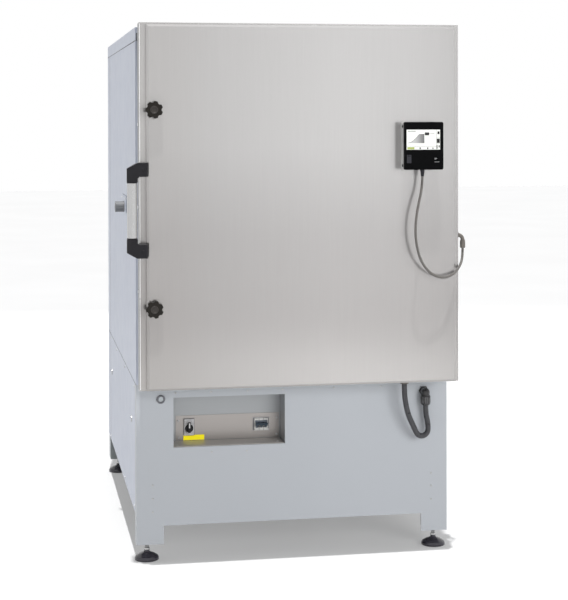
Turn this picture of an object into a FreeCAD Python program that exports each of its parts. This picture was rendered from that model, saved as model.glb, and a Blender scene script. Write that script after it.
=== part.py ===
import FreeCAD, Part
import math
import os
import re
import Sketcher

# Forced convection furnace on a panelled base, with a swing door hinged on the right.
# Frame: origin on the floor under the middle of the casing, X to the right, Y to the rear, Z up.
# The front of the casing is the plane y = -casing_depth / 2; the door stands in front of it.

V = FreeCAD.Vector

SIZES = {
    # casing and base
    "casing_width": 1170, "casing_depth": 1540, "casing_top": 1952, "base_top": 649,
    "steel_sheet": 2, "cover_lip": 48, "front_fold": 20, "rear_return": 140, "front_return": 62,
    "seam_gap": 1,
    # base frame
    "leg_bottom": 65, "leg_face": 100, "apron_bottom": 132, "side_panel_bottom": 171,
    "post_width": 76, "post_depth": 86, "tube_wall": 3, "foot_plate": 8, "rail_width": 40,
    "rail_height": 36, "deck_thickness": 4,
    # levelling feet
    "foot_inset_side": 41, "foot_inset_front": 45, "foot_radius": 44, "foot_dome": 30,
    "foot_spindle": 6, "foot_nut": 10, "foot_nut_height": 7, "foot_thread": 66,
    # control niche
    "niche_left": -449, "niche_right": -35, "niche_bottom": 416, "niche_height": 183,
    "niche_depth": 107, "plate_margin": 19, "plate_low": 4, "plate_height": 92,
    "window_left": 102, "window_low": 33, "window_width": 58, "window_height": 45,
    "breaker_width": 52, "breaker_height": 90, "breaker_depth": 58, "window_gap": 3,
    "nose_depth": 14, "toggle_hub": 6, "toggle_pin": 2, "toggle_reach": 17, "toggle_width": 9,
    "switch_left": 49, "switch_low": 50, "switch_width": 40, "switch_height": 63,
    "bezel_depth": 6, "switch_block": 36, "switch_block_depth": 60, "lever_radius": 15,
    "lever_grip": 9, "lever_depth": 17, "lever_pin": 4,
    # fittings of the base
    "elbow_place": 495, "elbow_height": 594, "elbow_reach": 30, "elbow_radius": 15,
    "elbow_nut": 19, "elbow_drop": 42, "elbow_thread": 10.5, "thread_depth": 15,
    "plug_place": -495, "plug_height": 595, "plug_radius": 15.5, "plug_shank": 11.5,
    "plug_dome": 4, "inlet_gland_radius": 16, "inlet_gland_reach": 34, "inlet_gland_height": 300,
    "inlet_gland_place": 300,
    # switchgear behind the base panels
    "gear_left": -50, "gear_right": 450, "gear_back": 260, "gear_bottom": 245,
    "contactor_width": 90, "contactor_height": 85, "contactor_depth": 84,
    # heating chamber
    "chamber_width": 650, "chamber_height": 810, "chamber_floor": 900, "chamber_depth": 990,
    "side_plenum": 48, "rear_plenum": 138, "rear_board": 158,
    "slot_length": 90, "slot_height": 14, "slot_pitch_y": 150, "slot_pitch_z": 86,
    "slot_columns": 6, "slot_rows": 8, "rod_radius": 4.25, "rod_count": 6, "carrier": 12,
    "rail_strip": 20, "rail_reach": 16, "rail_sheet": 3, "rail_pitch": 130, "rail_rows": 5,
    "shelf_gap": 3, "shelf_edge": 14, "shelf_slots": 12, "shelf_web": 14,
    # fan, motor and services at the rear
    "fan_level": 1305, "fan_radius": 150, "fan_eye": 105, "fan_depth": 72, "fan_sheet": 3,
    "fan_hub": 24, "fan_shaft": 10, "shaft_passage": 14, "blade_count": 12, "blade_sheet": 3,
    "running_gap": 0.05, "clearance": 0.3, "guard_radius": 112, "guard_bars": 12, "guard_bar": 5,
    "motor_radius": 82, "motor_length": 190, "motor_flange": 108, "motor_flange_depth": 8,
    "motor_rib": 8, "motor_rib_sheet": 3, "motor_ribs": 9, "shaft_grip": 60, "exhaust_inset": 95, "exhaust_level": 1640, "exhaust_radius": 40,
    "exhaust_wall": 2, "exhaust_step": 2, "exhaust_collar": 30, "exhaust_reach": 92,
    "exhaust_flange": 58, "flap_setback": 68,
    "flap_pin": 4, "flap_gap": 0.6, "flap_sheet": 2, "flap_lever": 46, "flap_rise": 10,
    "lever_sheet": 4, "lever_width": 10,
    "probe_place": -150, "probe_level": 1650, "probe_radius": 3, "probe_head": 20,
    "probe_reach": 60, "louvre_width": 130, "louvre_height": 9, "louvre_pitch": 26,
    "louvre_rows": 7, "louvre_level": 1180, "louvre_place": 130,
    # air inlet on the left side
    "inlet_place": 525, "inlet_level": 1272, "inlet_plate_length": 190, "inlet_plate_height": 63,
    "inlet_plate_low": 18,
    "inlet_radius": 19, "inlet_port": 12, "inlet_pin": 4, "shutter_sheet": 3, "shutter_radius": 22,
    "shutter_grip": 32, "inlet_grip": 21, "inlet_flutes": 12, "inlet_flute": 2.5,
    # panel locks
    "lock_radius": 12, "lock_face": 3, "lock_height": 490, "lock_setback": 203,
    # front frame
    "frame_depth": 30, "frame_inset": 20, "receiver_radius": 9,
    # door
    "door_width": 1170, "door_bottom": 654, "door_height": 1306, "door_back": 43,
    "door_tray": 60, "door_skin_depth": 52, "tray_inset": 6, "face_depth": 20, "face_chamfer": 8,
    "rim_left": 25, "rim_right": 14, "rim_top": 7, "plug_gap": 30, "plug_reach": 58,
    "plug_flange": 18, "seal_width": 24, "seal_offset": 16, "seal_gap": 0.3,
    # door hinges
    "hinge_offset": 22, "hinge_setback": 22, "hinge_pin": 6, "hinge_barrel": 12,
    "hinge_length": 120, "hinge_inset": 150, "hinge_leaf": 6, "hinge_leaf_depth": 84,
    "knuckle_gap": 0.5,
    # star knobs
    "knob_place": 50, "knob_upper": 1650, "knob_lower": 947, "knob_radius": 31, "knob_depth": 21,
    "knob_neck": 11, "knob_standoff": 8, "knob_scallop": 8, "knob_lobes": 7, "knob_spindle": 6,
    # handle
    "handle_offset": 30, "handle_stand": 65, "grip_radius": 17.5, "grip_wall": 2,
    "grip_bottom": 1198, "grip_length": 199, "leg_rise": 67, "leg_arm": 48, "leg_foot": 22,
    "leg_front": 18.5, "leg_round": 6,
    # controller on the door
    "panel_left": 359, "panel_bottom": 1433, "panel_width": 146, "panel_height": 172,
    "housing_depth": 55, "front_depth": 10, "housing_inset": 5, "screen_recess": 1,
    "screen_left": 9, "screen_low": 72, "screen_width": 125, "screen_height": 73,
    "flap_left": 10, "flap_low": 23, "flap_width": 17, "flap_height": 31, "flap_cover": 2,
    "flap_pivot": 1,
    # cables
    "cable_radius": 4.5, "cable_standoff": 46, "hose_radius": 10.5, "socket_radius": 15, "socket_place": 402,
    "socket_reach": 18, "gland_height": 1189, "gland_setback": 135, "gland_reach": 23,
    "gland_radius": 9, "gland_drop": 48, "gland_neck": 7, "gland_nut": 4,
}

doc = FreeCAD.newDocument("furnace")
sheet = doc.addObject("Spreadsheet::Sheet", "Sizes")
for row, (name, number) in enumerate(SIZES.items(), 1):
    sheet.set("A%d" % row, name)
    sheet.set("B%d" % row, str(number))
    sheet.setAlias("B%d" % row, name)
doc.recompute()

pieces = []


def bound(text):
    """An expression in which every size name points at its cell of the sheet."""
    def cell(word):
        return "Sizes." + word.group(0) if word.group(0) in SIZES else word.group(0)

    return re.sub(r"[a-z_]+", cell, text)


def number(text):
    """The present value of an expression."""
    return float(sheet.evalExpression(bound(text)))


# Shared planes and places, as expressions
SIDE = "(casing_width / 2)"
FRONT = "(-casing_depth / 2)"
BACK = "(casing_depth / 2)"
INNER = "(casing_width / 2 - steel_sheet)"
DECK = "(base_top - deck_thickness)"
NICHE_TOP = "(niche_bottom + niche_height)"
NICHE_BACK = "(-casing_depth / 2 + niche_depth)"
LINER = "(chamber_width / 2 + steel_sheet + side_plenum)"
LINER_OUT = "(chamber_width / 2 + 2 * steel_sheet + side_plenum)"
ROOF = "(chamber_floor + chamber_height)"
EXHAUST_X = "(chamber_width / 2 - exhaust_inset)"
LINER_BACK = "(-casing_depth / 2 + chamber_depth + steel_sheet + rear_plenum)"
BOARD_FRONT = "(-casing_depth / 2 + steel_sheet)"
BOARD_BACK = "(-casing_depth / 2 + chamber_depth + 2 * steel_sheet + rear_plenum + rear_board)"
BAFFLE_BACK = "(-casing_depth / 2 + chamber_depth + steel_sheet)"
FRAME_FRONT = "(-casing_depth / 2 - frame_depth)"
FRAME_OUT = "(casing_width / 2 - frame_inset)"
FRAME_LOW = "(base_top + frame_inset)"
FRAME_HIGH = "(casing_top - frame_inset)"
DOOR_SIDE = "(door_width / 2)"
DOOR_TOP = "(door_bottom + door_height)"
DOOR_BACK = "(-casing_depth / 2 - door_back)"
TRAY_FRONT = "(-casing_depth / 2 - door_back - door_tray)"
RIM_FRONT = "(-casing_depth / 2 - door_back - door_tray - door_skin_depth)"
FACE_FRONT = "(-casing_depth / 2 - door_back - door_tray - door_skin_depth - face_depth)"
FACE_LEFT = "(-door_width / 2 + rim_left)"
PLUG_SIDE = "(chamber_width / 2 + steel_sheet + side_plenum - plug_gap)"
PLUG_LOW = "(chamber_floor + plug_gap)"
PLUG_HIGH = "(chamber_floor + chamber_height - plug_gap)"
HINGE_X = "(casing_width / 2 + hinge_offset)"
HINGE_Y = "(-casing_depth / 2 - hinge_setback)"
TRAY_SIDE = "(door_width / 2 - tray_inset)"


def place(item, x, y, z):
    """Bind the item's position to three expressions."""
    for axis, text in (("x", x), ("y", y), ("z", z)):
        item.setExpression("Placement.Base." + axis, bound(text))
    return item


def named(item, label):
    """Mark an object as a finished sub-part."""
    item.Label = label
    pieces.append(item)
    return item


def block(low, high):
    """A box between two corners."""
    box = doc.addObject("Part::Box", "Block")
    for edge, start, end in zip(("Length", "Width", "Height"), low, high):
        box.setExpression(edge, bound("(%s) - (%s)" % (end, start)))
    return place(box, *low)


TURNS = {
    "x": FreeCAD.Rotation(V(0, 1, 0), 90),
    "y": FreeCAD.Rotation(V(1, 0, 0), -90),
    "z": FreeCAD.Rotation(),
}


def rod(radius, start, length, axis):
    """A round bar from a start point along an axis."""
    bar = doc.addObject("Part::Cylinder", "Rod")
    bar.setExpression("Radius", bound(radius))
    bar.setExpression("Height", bound(length))
    bar.Placement = FreeCAD.Placement(V(), TURNS[axis])
    return place(bar, *start)


def taper(radius, end_radius, start, length, axis):
    """A cone from one radius to another, from a start point along an axis."""
    cone = doc.addObject("Part::Cone", "Taper")
    for name, text in (("Radius1", radius), ("Radius2", end_radius), ("Height", length)):
        cone.setExpression(name, bound(text))
    cone.Placement = FreeCAD.Placement(V(), TURNS[axis])
    return place(cone, *start)


def bend(radius, thickness, centre):
    """A quarter ring in the XZ plane, from the centre's +X side up to its +Z side."""
    ring = doc.addObject("Part::Torus", "Bend")
    ring.setExpression("Radius1", bound(radius))
    ring.setExpression("Radius2", bound(thickness))
    ring.Angle3 = 90
    ring.Placement = FreeCAD.Placement(V(), FreeCAD.Rotation(V(1, 0, 0), 90))
    return place(ring, *centre)


def ball(radius, centre):
    """A sphere about a centre."""
    item = doc.addObject("Part::Sphere", "Ball")
    item.setExpression("Radius", bound(radius))
    return place(item, *centre)


def hexagon(width, start, length, axis):
    """A six-sided nut body from a start point along an axis; width is its corner radius."""
    nut = doc.addObject("Part::Prism", "Nut")
    nut.Polygon = 6
    nut.setExpression("Circumradius", bound(width))
    nut.setExpression("Height", bound(length))
    nut.Placement = FreeCAD.Placement(V(), TURNS[axis])
    return place(nut, *start)


def fuse(items):
    """One shape from several."""
    join = doc.addObject("Part::MultiFuse", "Join")
    join.Shapes = items
    join.Refine = True
    return join


def cut(base, tools):
    """The base with one or more tools taken away."""
    result = doc.addObject("Part::Cut", "Cut")
    result.Base = base
    result.Tool = fuse(tools) if len(tools) > 1 else tools[0]
    result.Refine = True
    return result


def hand(side, low, high):
    """An X range on the right (side 1), or the same range mirrored to the left (side -1)."""
    return (low, high) if side > 0 else ("-(%s)" % high, "-(%s)" % low)


def sided(side, low, high):
    """A block given for the right side, mirrored to the left when side is -1."""
    start, end = hand(side, low[0], high[0])
    return block((start, low[1], low[2]), (end, high[1], high[2]))


def body():
    return doc.addObject("PartDesign::Body", "Body")


PLANES = {"xy": ("XY_Plane", "%s"), "xz": ("XZ_Plane", "-(%s)"), "yz": ("YZ_Plane", "%s")}


def sketch(owner, plane, level):
    """A sketch on one of the body's own planes, moved to a level of the plane's third axis."""
    role, offset = PLANES[plane]
    support = [item for item in owner.Origin.OriginFeatures if item.Role == role][0]
    drawing = owner.newObject("Sketcher::SketchObject", "Sketch")
    drawing.AttachmentSupport = (support, [""])
    drawing.MapMode = "FlatFace"
    drawing.setExpression("AttachmentOffset.Base.z", bound(offset % level))
    return drawing


def hold(drawing, geometry, point, x, y):
    """Bind a sketch point to two expressions, measured from the sketch's origin."""
    for kind, text, line in (("DistanceX", x, -2), ("DistanceY", y, -1)):
        if text == "0":
            drawing.addConstraint(Sketcher.Constraint("PointOnObject", geometry, point, line))
            continue
        index = drawing.addConstraint(Sketcher.Constraint(kind, -1, 1, geometry, point, number(text)))
        drawing.setExpression("Constraints[%d]" % index, bound(text))


def outline(drawing, points):
    """A closed polygon whose corners are bound to expressions."""
    corners = [V(number(x), number(y), 0) for x, y in points]
    first = drawing.GeometryCount
    count = len(points)
    for i in range(count):
        drawing.addGeometry(Part.LineSegment(corners[i], corners[(i + 1) % count]), False)
    for i in range(count):
        drawing.addConstraint(Sketcher.Constraint("Coincident", first + i, 2, first + (i + 1) % count, 1))
    for i, (x, y) in enumerate(points):
        hold(drawing, first + i, 1, x, y)


def rectangle(drawing, low, high):
    outline(drawing, [low, (high[0], low[1]), high, (low[0], high[1])])


def circle(drawing, x, y, radius):
    """A circle bound by its centre and radius."""
    index = drawing.addGeometry(Part.Circle(V(number(x), number(y), 0), V(0, 0, 1), number(radius)), False)
    hold(drawing, index, 3, x, y)
    rule = drawing.addConstraint(Sketcher.Constraint("Radius", index, number(radius)))
    drawing.setExpression("Constraints[%d]" % rule, bound(radius))


def pad(owner, drawing, length, reverse=False):
    feature = owner.newObject("PartDesign::Pad", "Pad")
    feature.Profile = drawing
    feature.setExpression("Length", bound(length))
    feature.Reversed = reverse
    drawing.Visibility = False
    return feature


def pocket(owner, drawing, length, reverse=False):
    """Cut a sketch into the body and make sure that it took material away."""
    doc.recompute()
    before = owner.Shape.Volume
    feature = owner.newObject("PartDesign::Pocket", "Pocket")
    feature.Profile = drawing
    feature.setExpression("Length", bound(length))
    feature.Reversed = reverse
    doc.recompute()
    if owner.Shape.Volume >= before:
        raise ValueError("a pocket of %s cut nothing" % owner.Label)
    return feature


def row_of(owner, feature, drawing, axis, pitch, count):
    """Repeat a feature along one axis of its sketch."""
    pattern = owner.newObject("PartDesign::LinearPattern", "Rows")
    pattern.Originals = [feature]
    pattern.Direction = (drawing, [axis])
    pattern.Mode = "Spacing"
    pattern.setExpression("Offset", bound(pitch))
    pattern.setExpression("Occurrences", bound(count))
    owner.Tip = pattern
    return pattern


def ring_of(owner, feature, drawing, count):
    """Repeat a feature round the normal of its sketch."""
    pattern = owner.newObject("PartDesign::PolarPattern", "Ring")
    pattern.Originals = [feature]
    pattern.Axis = (drawing, ["N_Axis"])
    pattern.Angle = 360
    pattern.setExpression("Occurrences", bound(count))
    owner.Tip = pattern
    return pattern


# Base frame: four square posts with foot plates, joined by channel rails

def channel(low, high, open_side):
    """A folded rail: a box with its inside cut away towards one side."""
    axis = "xyz".index(open_side[1])
    inner_low = [low[i] for i in range(3)]
    inner_high = [high[i] for i in range(3)]
    wall = 1 if axis == 0 else 0
    for i in (axis, 2):
        inner_low[i] = "%s + tube_wall" % low[i]
        inner_high[i] = "%s - tube_wall" % high[i]
    if open_side[0] == "+":
        inner_high[axis] = "%s + tube_wall" % high[axis]
    else:
        inner_low[axis] = "%s - tube_wall" % low[axis]
    inner_low[wall] = "%s - tube_wall" % low[wall]
    inner_high[wall] = "%s + tube_wall" % high[wall]
    return cut(block(low, high), [block(inner_low, inner_high)])


def post(side, start, end):
    """A square post with a closed foot plate, bored for the foot's spindle."""
    outer = sided(side, (INNER + " - post_width", start, "leg_bottom"), (INNER, end, DECK))
    inner = sided(side, (INNER + " - post_width + tube_wall", start + " + tube_wall", "leg_bottom + foot_plate"),
                  (INNER + " - tube_wall", end + " - tube_wall", DECK + " + tube_wall"))
    x = "%d * (casing_width / 2 - foot_inset_side)" % side
    y = start + " + post_depth / 2"
    hole = rod("foot_spindle + clearance", (x, y, "leg_bottom - foot_plate"), "3 * foot_plate", "z")
    return cut(outer, [inner, hole])


POST_FRONT = (FRONT + " + steel_sheet", FRONT + " + steel_sheet + post_depth")
POST_REAR = (BACK + " - steel_sheet - post_depth", BACK + " - steel_sheet")


def base_frame():
    members = [post(side, *span) for side in (-1, 1) for span in (POST_FRONT, POST_REAR)]
    rail_in = INNER + " - rail_width"
    post_in = INNER + " - post_width"
    levels = (("side_panel_bottom", "side_panel_bottom + rail_height"), (DECK + " - rail_height", DECK))
    for low, high in levels:
        for side in (-1, 1):
            start, end = hand(side, rail_in, INNER)
            opening = "-x" if side > 0 else "+x"
            members.append(channel((start, POST_FRONT[1], low), (end, POST_REAR[0], high), opening))
        members.append(channel(("-(%s)" % post_in, POST_FRONT[0], low),
                               (post_in, POST_FRONT[0] + " + rail_width", high), "+y"))
        members.append(channel(("-(%s)" % post_in, POST_REAR[1] + " - rail_width", low),
                               (post_in, POST_REAR[1], high), "-y"))
    members.append(channel(("-(%s)" % rail_in, "-rail_width / 2", DECK + " - rail_height"),
                           (rail_in, "rail_width / 2", DECK), "+y"))
    named(fuse(members), "base_frame")


base_frame()


# Folded sheets: a U profile seen from above, padded upwards, then cut

def folded_sheet(front, back, inner_front, height_low, height):
    """A U of sheet whose web stands between front and inner_front and whose returns reach back."""
    panel = body()
    plan = sketch(panel, "xy", height_low)
    left = "-casing_width / 2"
    right = "casing_width / 2"
    outline(plan, [(left, back), (left, front), (right, front), (right, back),
                   (right + " - steel_sheet", back), (right + " - steel_sheet", inner_front),
                   (left + " + steel_sheet", inner_front), (left + " + steel_sheet", back)])
    pad(panel, plan, height)
    return panel


def base_front_panel():
    """Front of the base: a sheet with two legs, the niche opening and two round holes."""
    panel = folded_sheet(FRONT, FRONT + " + front_return", FRONT + " + steel_sheet",
                         "leg_bottom", "base_top - seam_gap / 2 - leg_bottom")
    panel.Label = "base_front_panel"
    cuts = sketch(panel, "xz", FRONT + " + 2 * steel_sheet")
    knee = "(casing_width / 2 - leg_face)"
    rectangle(cuts, ("-" + knee, "leg_bottom - steel_sheet"), (knee, "apron_bottom"))
    rectangle(cuts, ("niche_left", "niche_bottom"), ("niche_right", NICHE_TOP))
    circle(cuts, "elbow_place", "elbow_height", "elbow_thread + clearance")
    circle(cuts, "plug_place", "plug_height", "plug_shank + clearance")
    pocket(panel, cuts, "4 * steel_sheet", True)
    named(panel, "base_front_panel")


base_front_panel()


def base_panel_rear():
    """Rear of the base: a U of sheet with the mains gland hole."""
    panel = folded_sheet(BACK, BACK + " - rear_return", BACK + " - steel_sheet", "side_panel_bottom",
                         "base_top - seam_gap / 2 - side_panel_bottom")
    panel.Label = "base_panel_rear"
    cuts = sketch(panel, "xz", BACK + " + steel_sheet")
    circle(cuts, "inlet_gland_place", "inlet_gland_height", "inlet_gland_radius - steel_sheet")
    pocket(panel, cuts, "4 * steel_sheet", True)
    named(panel, "base_panel_rear")


def side_panel(label, side, low, high, holes):
    """A flat side sheet between the front and rear returns, with round holes."""
    panel = body()
    panel.Label = label
    face = sketch(panel, "yz", INNER if side > 0 else "-" + SIDE)
    rectangle(face, (FRONT + " + front_return + seam_gap", low), (BACK + " - rear_return - seam_gap", high))
    for y, z, radius in holes:
        circle(face, y, z, radius)
    pad(panel, face, "steel_sheet")
    named(panel, label)


LOCK_PLACES = (FRONT + " + lock_setback", BACK + " - rear_return - lock_setback / 2")
for side, label in ((-1, "base_panel_left"), (1, "base_panel_right")):
    side_panel(label, side, "side_panel_bottom", "base_top - seam_gap / 2",
               [(y, "lock_height", "lock_radius - lock_face + clearance") for y in LOCK_PLACES])


def base_deck():
    """Plate on the rails that carries the casing, with a cable slot at the rear."""
    plate = block(("-" + INNER, BOARD_FRONT, DECK), (INNER, BACK + " - steel_sheet", "base_top"))
    slot = block(("-leg_face", BACK + " - leg_face", DECK + " - deck_thickness"),
                 ("leg_face", BACK + " - leg_face / 2", "base_top + deck_thickness"))
    named(cut(plate, [slot]), "base_deck")


base_panel_rear()
base_deck()


# Levelling feet: a turned dome pad on a threaded spindle, with a lock nut under the leg

def levelling_foot(x, y):
    foot = body()
    profile = sketch(foot, "xz", "0")
    outline(profile, [("0", "0"), ("foot_radius - 4", "0"), ("foot_radius", "foot_dome * 0.14"),
                      ("foot_radius", "foot_dome * 0.34"), ("foot_radius * 0.93", "foot_dome * 0.5"),
                      ("foot_radius * 0.62", "foot_dome * 0.78"), ("foot_radius * 0.3", "foot_dome * 0.95"),
                      ("foot_radius * 0.26", "foot_dome"), ("foot_spindle", "foot_dome"),
                      ("foot_spindle", "foot_dome + foot_thread"), ("0", "foot_dome + foot_thread")])
    turned = foot.newObject("PartDesign::Revolution", "Turned")
    turned.Profile = profile
    turned.ReferenceAxis = (profile, ["V_Axis"])
    turned.Angle = 360
    nut = hexagon("foot_nut", ("0", "0", "foot_dome"), "foot_nut_height", "z")
    return place(fuse([foot, nut]), x, y, "0")


FOOT_X = "(casing_width / 2 - foot_inset_side)"
FOOT_Y = (POST_FRONT[0] + " + post_depth / 2", POST_REAR[0] + " + post_depth / 2")
feet = doc.addObject("Part::Compound", "Feet")
feet.Links = [levelling_foot(x, y) for x in ("-" + FOOT_X, FOOT_X) for y in FOOT_Y]
named(feet, "levelling_feet")


# Control niche with its switch plate, main switch and circuit breaker

WINDOW = ("(niche_right - window_left)", "(niche_bottom + window_low)")
SWITCH = ("(niche_left + switch_left)", "(niche_bottom + switch_low)")


def window_block(start, end, margin):
    """A block through the breaker's window, larger all round by a margin."""
    x, z = WINDOW
    return block((x + " - " + margin, start, z + " - " + margin),
                 (x + " + window_width + " + margin, end, z + " + window_height + " + margin))


def switch_hole(start, end):
    """A square passage for the block behind the main switch."""
    x, z = SWITCH
    half = "(switch_block / 2 + clearance)"
    return block((x + " + switch_width / 2 - " + half, start, z + " - " + half),
                 (x + " + switch_width / 2 + " + half, end, z + " + " + half))


def control_niche():
    outer = block(("niche_left - steel_sheet", BOARD_FRONT, "niche_bottom - steel_sheet"),
                  ("niche_right + steel_sheet", NICHE_BACK + " + steel_sheet", NICHE_TOP + " + steel_sheet"))
    inner = block(("niche_left", FRONT, "niche_bottom"), ("niche_right", NICHE_BACK, NICHE_TOP))
    tools = [inner, window_block(FRONT, NICHE_BACK + " + 2 * steel_sheet", "0"),
             switch_hole(FRONT, NICHE_BACK + " + 2 * steel_sheet")]
    named(cut(outer, tools), "control_niche")


def switch_plate():
    plate = block(("niche_left + plate_margin", NICHE_BACK + " - steel_sheet", "niche_bottom + plate_low"),
                  ("niche_right - plate_low", NICHE_BACK, "niche_bottom + plate_low + plate_height"))
    tools = [window_block(FRONT, BACK, "0"), switch_hole(FRONT, BACK)]
    named(cut(plate, tools), "switch_plate")


def main_switch():
    """Switch body behind a tall bezel, and the lever that turns in the bezel."""
    x, z = SWITCH
    centre_x = x + " + switch_width / 2"
    bezel_back = "(%s - steel_sheet)" % NICHE_BACK
    bezel_front = "(%s - bezel_depth)" % bezel_back
    bezel = block((x, bezel_front, z + " - switch_width * 0.7"),
                  (x + " + switch_width", bezel_back, z + " - switch_width * 0.7 + switch_height"))
    half = "switch_block / 2"
    inside = block((centre_x + " - " + half, bezel_back, z + " - " + half),
                   (centre_x + " + " + half, bezel_back + " + switch_block_depth", z + " + " + half))
    bore = rod("lever_pin + running_gap", (centre_x, bezel_front + " - bezel_depth", z), "4 * bezel_depth", "y")
    named(cut(fuse([bezel, inside]), [bore]), "main_switch_body")

    disc = rod("lever_radius", (centre_x, bezel_front + " - clearance - bezel_depth", z), "bezel_depth", "y")
    grip = block((centre_x + " - lever_grip / 2", bezel_front + " - lever_depth", z + " - lever_radius"),
                 (centre_x + " + lever_grip / 2", bezel_front + " - bezel_depth", z + " + lever_radius + lever_grip"))
    pin = rod("lever_pin", (centre_x, bezel_front + " - bezel_depth", z), "2 * bezel_depth", "y")
    named(fuse([disc, grip, pin]), "main_switch_lever")


def circuit_breaker():
    """Three-pole breaker behind the niche; its nose stands in the window and holds the toggle bar."""
    x, z = WINDOW
    left = "(%s + window_gap)" % x
    right = "(%s + window_gap + breaker_width)" % x
    middle = "(%s + window_height / 2)" % z
    back = "(%s + steel_sheet)" % NICHE_BACK
    main = block((left, back, middle + " - breaker_height / 2"), (right, back + " + breaker_depth", middle + " + breaker_height / 2"))
    nose_front = "(%s - nose_depth)" % back
    nose = block((left, nose_front, z + " + clearance"), (right, back, z + " + window_height - clearance"))
    pivot_y = "(%s + toggle_hub + 2)" % nose_front
    pocket_half = "(toggle_hub + 6)"
    hollow = block((left + " + 4", nose_front + " - 1", middle + " - " + pocket_half),
                   (right + " - 4", pivot_y + " + toggle_hub + 2", middle + " + " + pocket_half))
    pin_hole = rod("toggle_pin + running_gap", (left + " + 1", pivot_y, middle), "breaker_width - 2", "x")
    named(cut(fuse([main, nose]), [hollow, pin_hole]), "circuit_breaker")

    hub = rod("toggle_hub", (left + " + 4 + clearance", pivot_y, middle), "breaker_width - 8 - 2 * clearance", "x")
    pin = rod("toggle_pin", (left + " + 1.5", pivot_y, middle), "breaker_width - 3", "x")
    parts = [hub, pin]
    for pole in range(3):
        start = "(%s + breaker_width * %d / 6 - toggle_width / 2)" % (left, 2 * pole + 1)
        parts.append(block((start, pivot_y + " - toggle_reach", middle + " + 1"),
                           (start + " + toggle_width", pivot_y, middle + " + toggle_hub")))
    parts.append(block((left + " + 6", pivot_y + " - toggle_reach", middle + " + 1.5"),
                       (right + " - 6", pivot_y + " - toggle_reach + 3", middle + " + toggle_hub - 0.5")))
    named(fuse(parts), "breaker_toggle")


control_niche()
switch_plate()
main_switch()
circuit_breaker()


# Switchgear behind the base panels, hung from the deck

def switchgear():
    back = "(%s + gear_back)" % FRONT
    plate = block(("gear_left", back, "gear_bottom"), ("gear_right", back + " + tube_wall", DECK))
    flange = block(("gear_left", back, DECK + " - tube_wall"), ("gear_right", back + " + rail_width", DECK))
    named(fuse([plate, flange]), "switchgear_plate")
    left = "(gear_left + gear_right) / 2"
    low = "(gear_bottom + contactor_height)"
    case = block((left, back + " - contactor_depth * 0.7", low),
                 (left + " + contactor_width", back, low + " + contactor_height"))
    front = block((left + " + contactor_width * 0.12", back + " - contactor_depth", low + " + contactor_height * 0.22"),
                  (left + " + contactor_width * 0.88", back, low + " + contactor_height * 0.78"))
    named(fuse([case, front]), "contactor")


switchgear()


# Fittings on the base: hose elbow, port plug and mains gland

def hose_elbow():
    """Angled gland on the base front: lock nut, elbow turned down, cap nut that takes the hose."""
    x, z = "elbow_place", "elbow_height"
    middle = "(%s - elbow_reach)" % FRONT
    parts = [rod("elbow_radius", (x, middle, z), "elbow_reach", "y"), ball("elbow_radius", (x, middle, z)),
             rod("elbow_radius", (x, middle, z + " - elbow_drop"), "elbow_drop", "z"),
             hexagon("elbow_nut", (x, FRONT + " - thread_depth / 2", z), "thread_depth / 2", "y"),
             hexagon("elbow_nut", (x, middle, z + " - elbow_drop"), "elbow_drop * 0.6", "z"),
             rod("elbow_thread", (x, FRONT + " - 1", z), "thread_depth + 1", "y")]
    named(fuse(parts), "hose_elbow")


def base_fittings():
    """Closing plug in the front panel, and the mains gland in the rear panel."""
    x, z = "plug_place", "plug_height"
    head = rod("plug_radius", (x, FRONT + " - plug_dome", z), "plug_dome", "y")
    shank = rod("plug_shank", (x, FRONT + " - 1", z), "thread_depth", "y")
    recess = rod("plug_radius * 0.62", (x, FRONT + " - 2 * plug_dome", z), "1.5 * plug_dome", "y")
    plug = cut(fuse([head, shank]), [recess])
    gx, gz = "inlet_gland_place", "inlet_gland_height"
    gland = fuse([hexagon("inlet_gland_radius + 4", (gx, BACK, gz), "inlet_gland_reach * 0.3", "y"),
                  rod("inlet_gland_radius - 1", (gx, BACK, gz), "inlet_gland_reach", "y"),
                  rod("inlet_gland_radius - steel_sheet - clearance", (gx, BACK + " - thread_depth", gz),
                      "thread_depth + 1", "y")])
    bore = rod("inlet_gland_radius - 6", (gx, BACK + " - 2 * thread_depth", gz), "3 * inlet_gland_reach", "y")
    pair = doc.addObject("Part::Compound", "Fittings")
    pair.Links = [plug, cut(gland, [bore])]
    named(pair, "base_fittings")


hose_elbow()
base_fittings()


# Quarter-turn locks of the base side panels

def panel_locks():
    heads = []
    for side in (-1, 1):
        for y in LOCK_PLACES:
            start = SIDE if side > 0 else "-%s - lock_face" % SIDE
            head = rod("lock_radius", (start, y, "lock_height"), "lock_face", "x")
            slot = block((start + " - 1", y + " - lock_radius * 0.7", "lock_height - 1.5"),
                         (start + " + lock_face * 0.4", y + " + lock_radius * 0.7", "lock_height + 1.5"))
            if side > 0:
                slot = block((start + " + lock_face * 0.6", y + " - lock_radius * 0.7", "lock_height - 1.5"),
                             (start + " + lock_face + 1", y + " + lock_radius * 0.7", "lock_height + 1.5"))
            shank_start = INNER + " - lock_radius" if side > 0 else "-" + SIDE
            shank = rod("lock_radius - lock_face", (shank_start, y, "lock_height"), "lock_radius + steel_sheet", "x")
            heads.append(fuse([cut(head, [slot]), shank]))
    locks = doc.addObject("Part::Compound", "Locks")
    locks.Links = heads
    named(locks, "panel_locks")


panel_locks()


# Casing: side sheets with a fold at the front, a U at the rear, and a top cover with lips

SHEET_LOW = "(base_top + seam_gap / 2)"
SHEET_HIGH = "(casing_top - cover_lip - seam_gap)"


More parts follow.
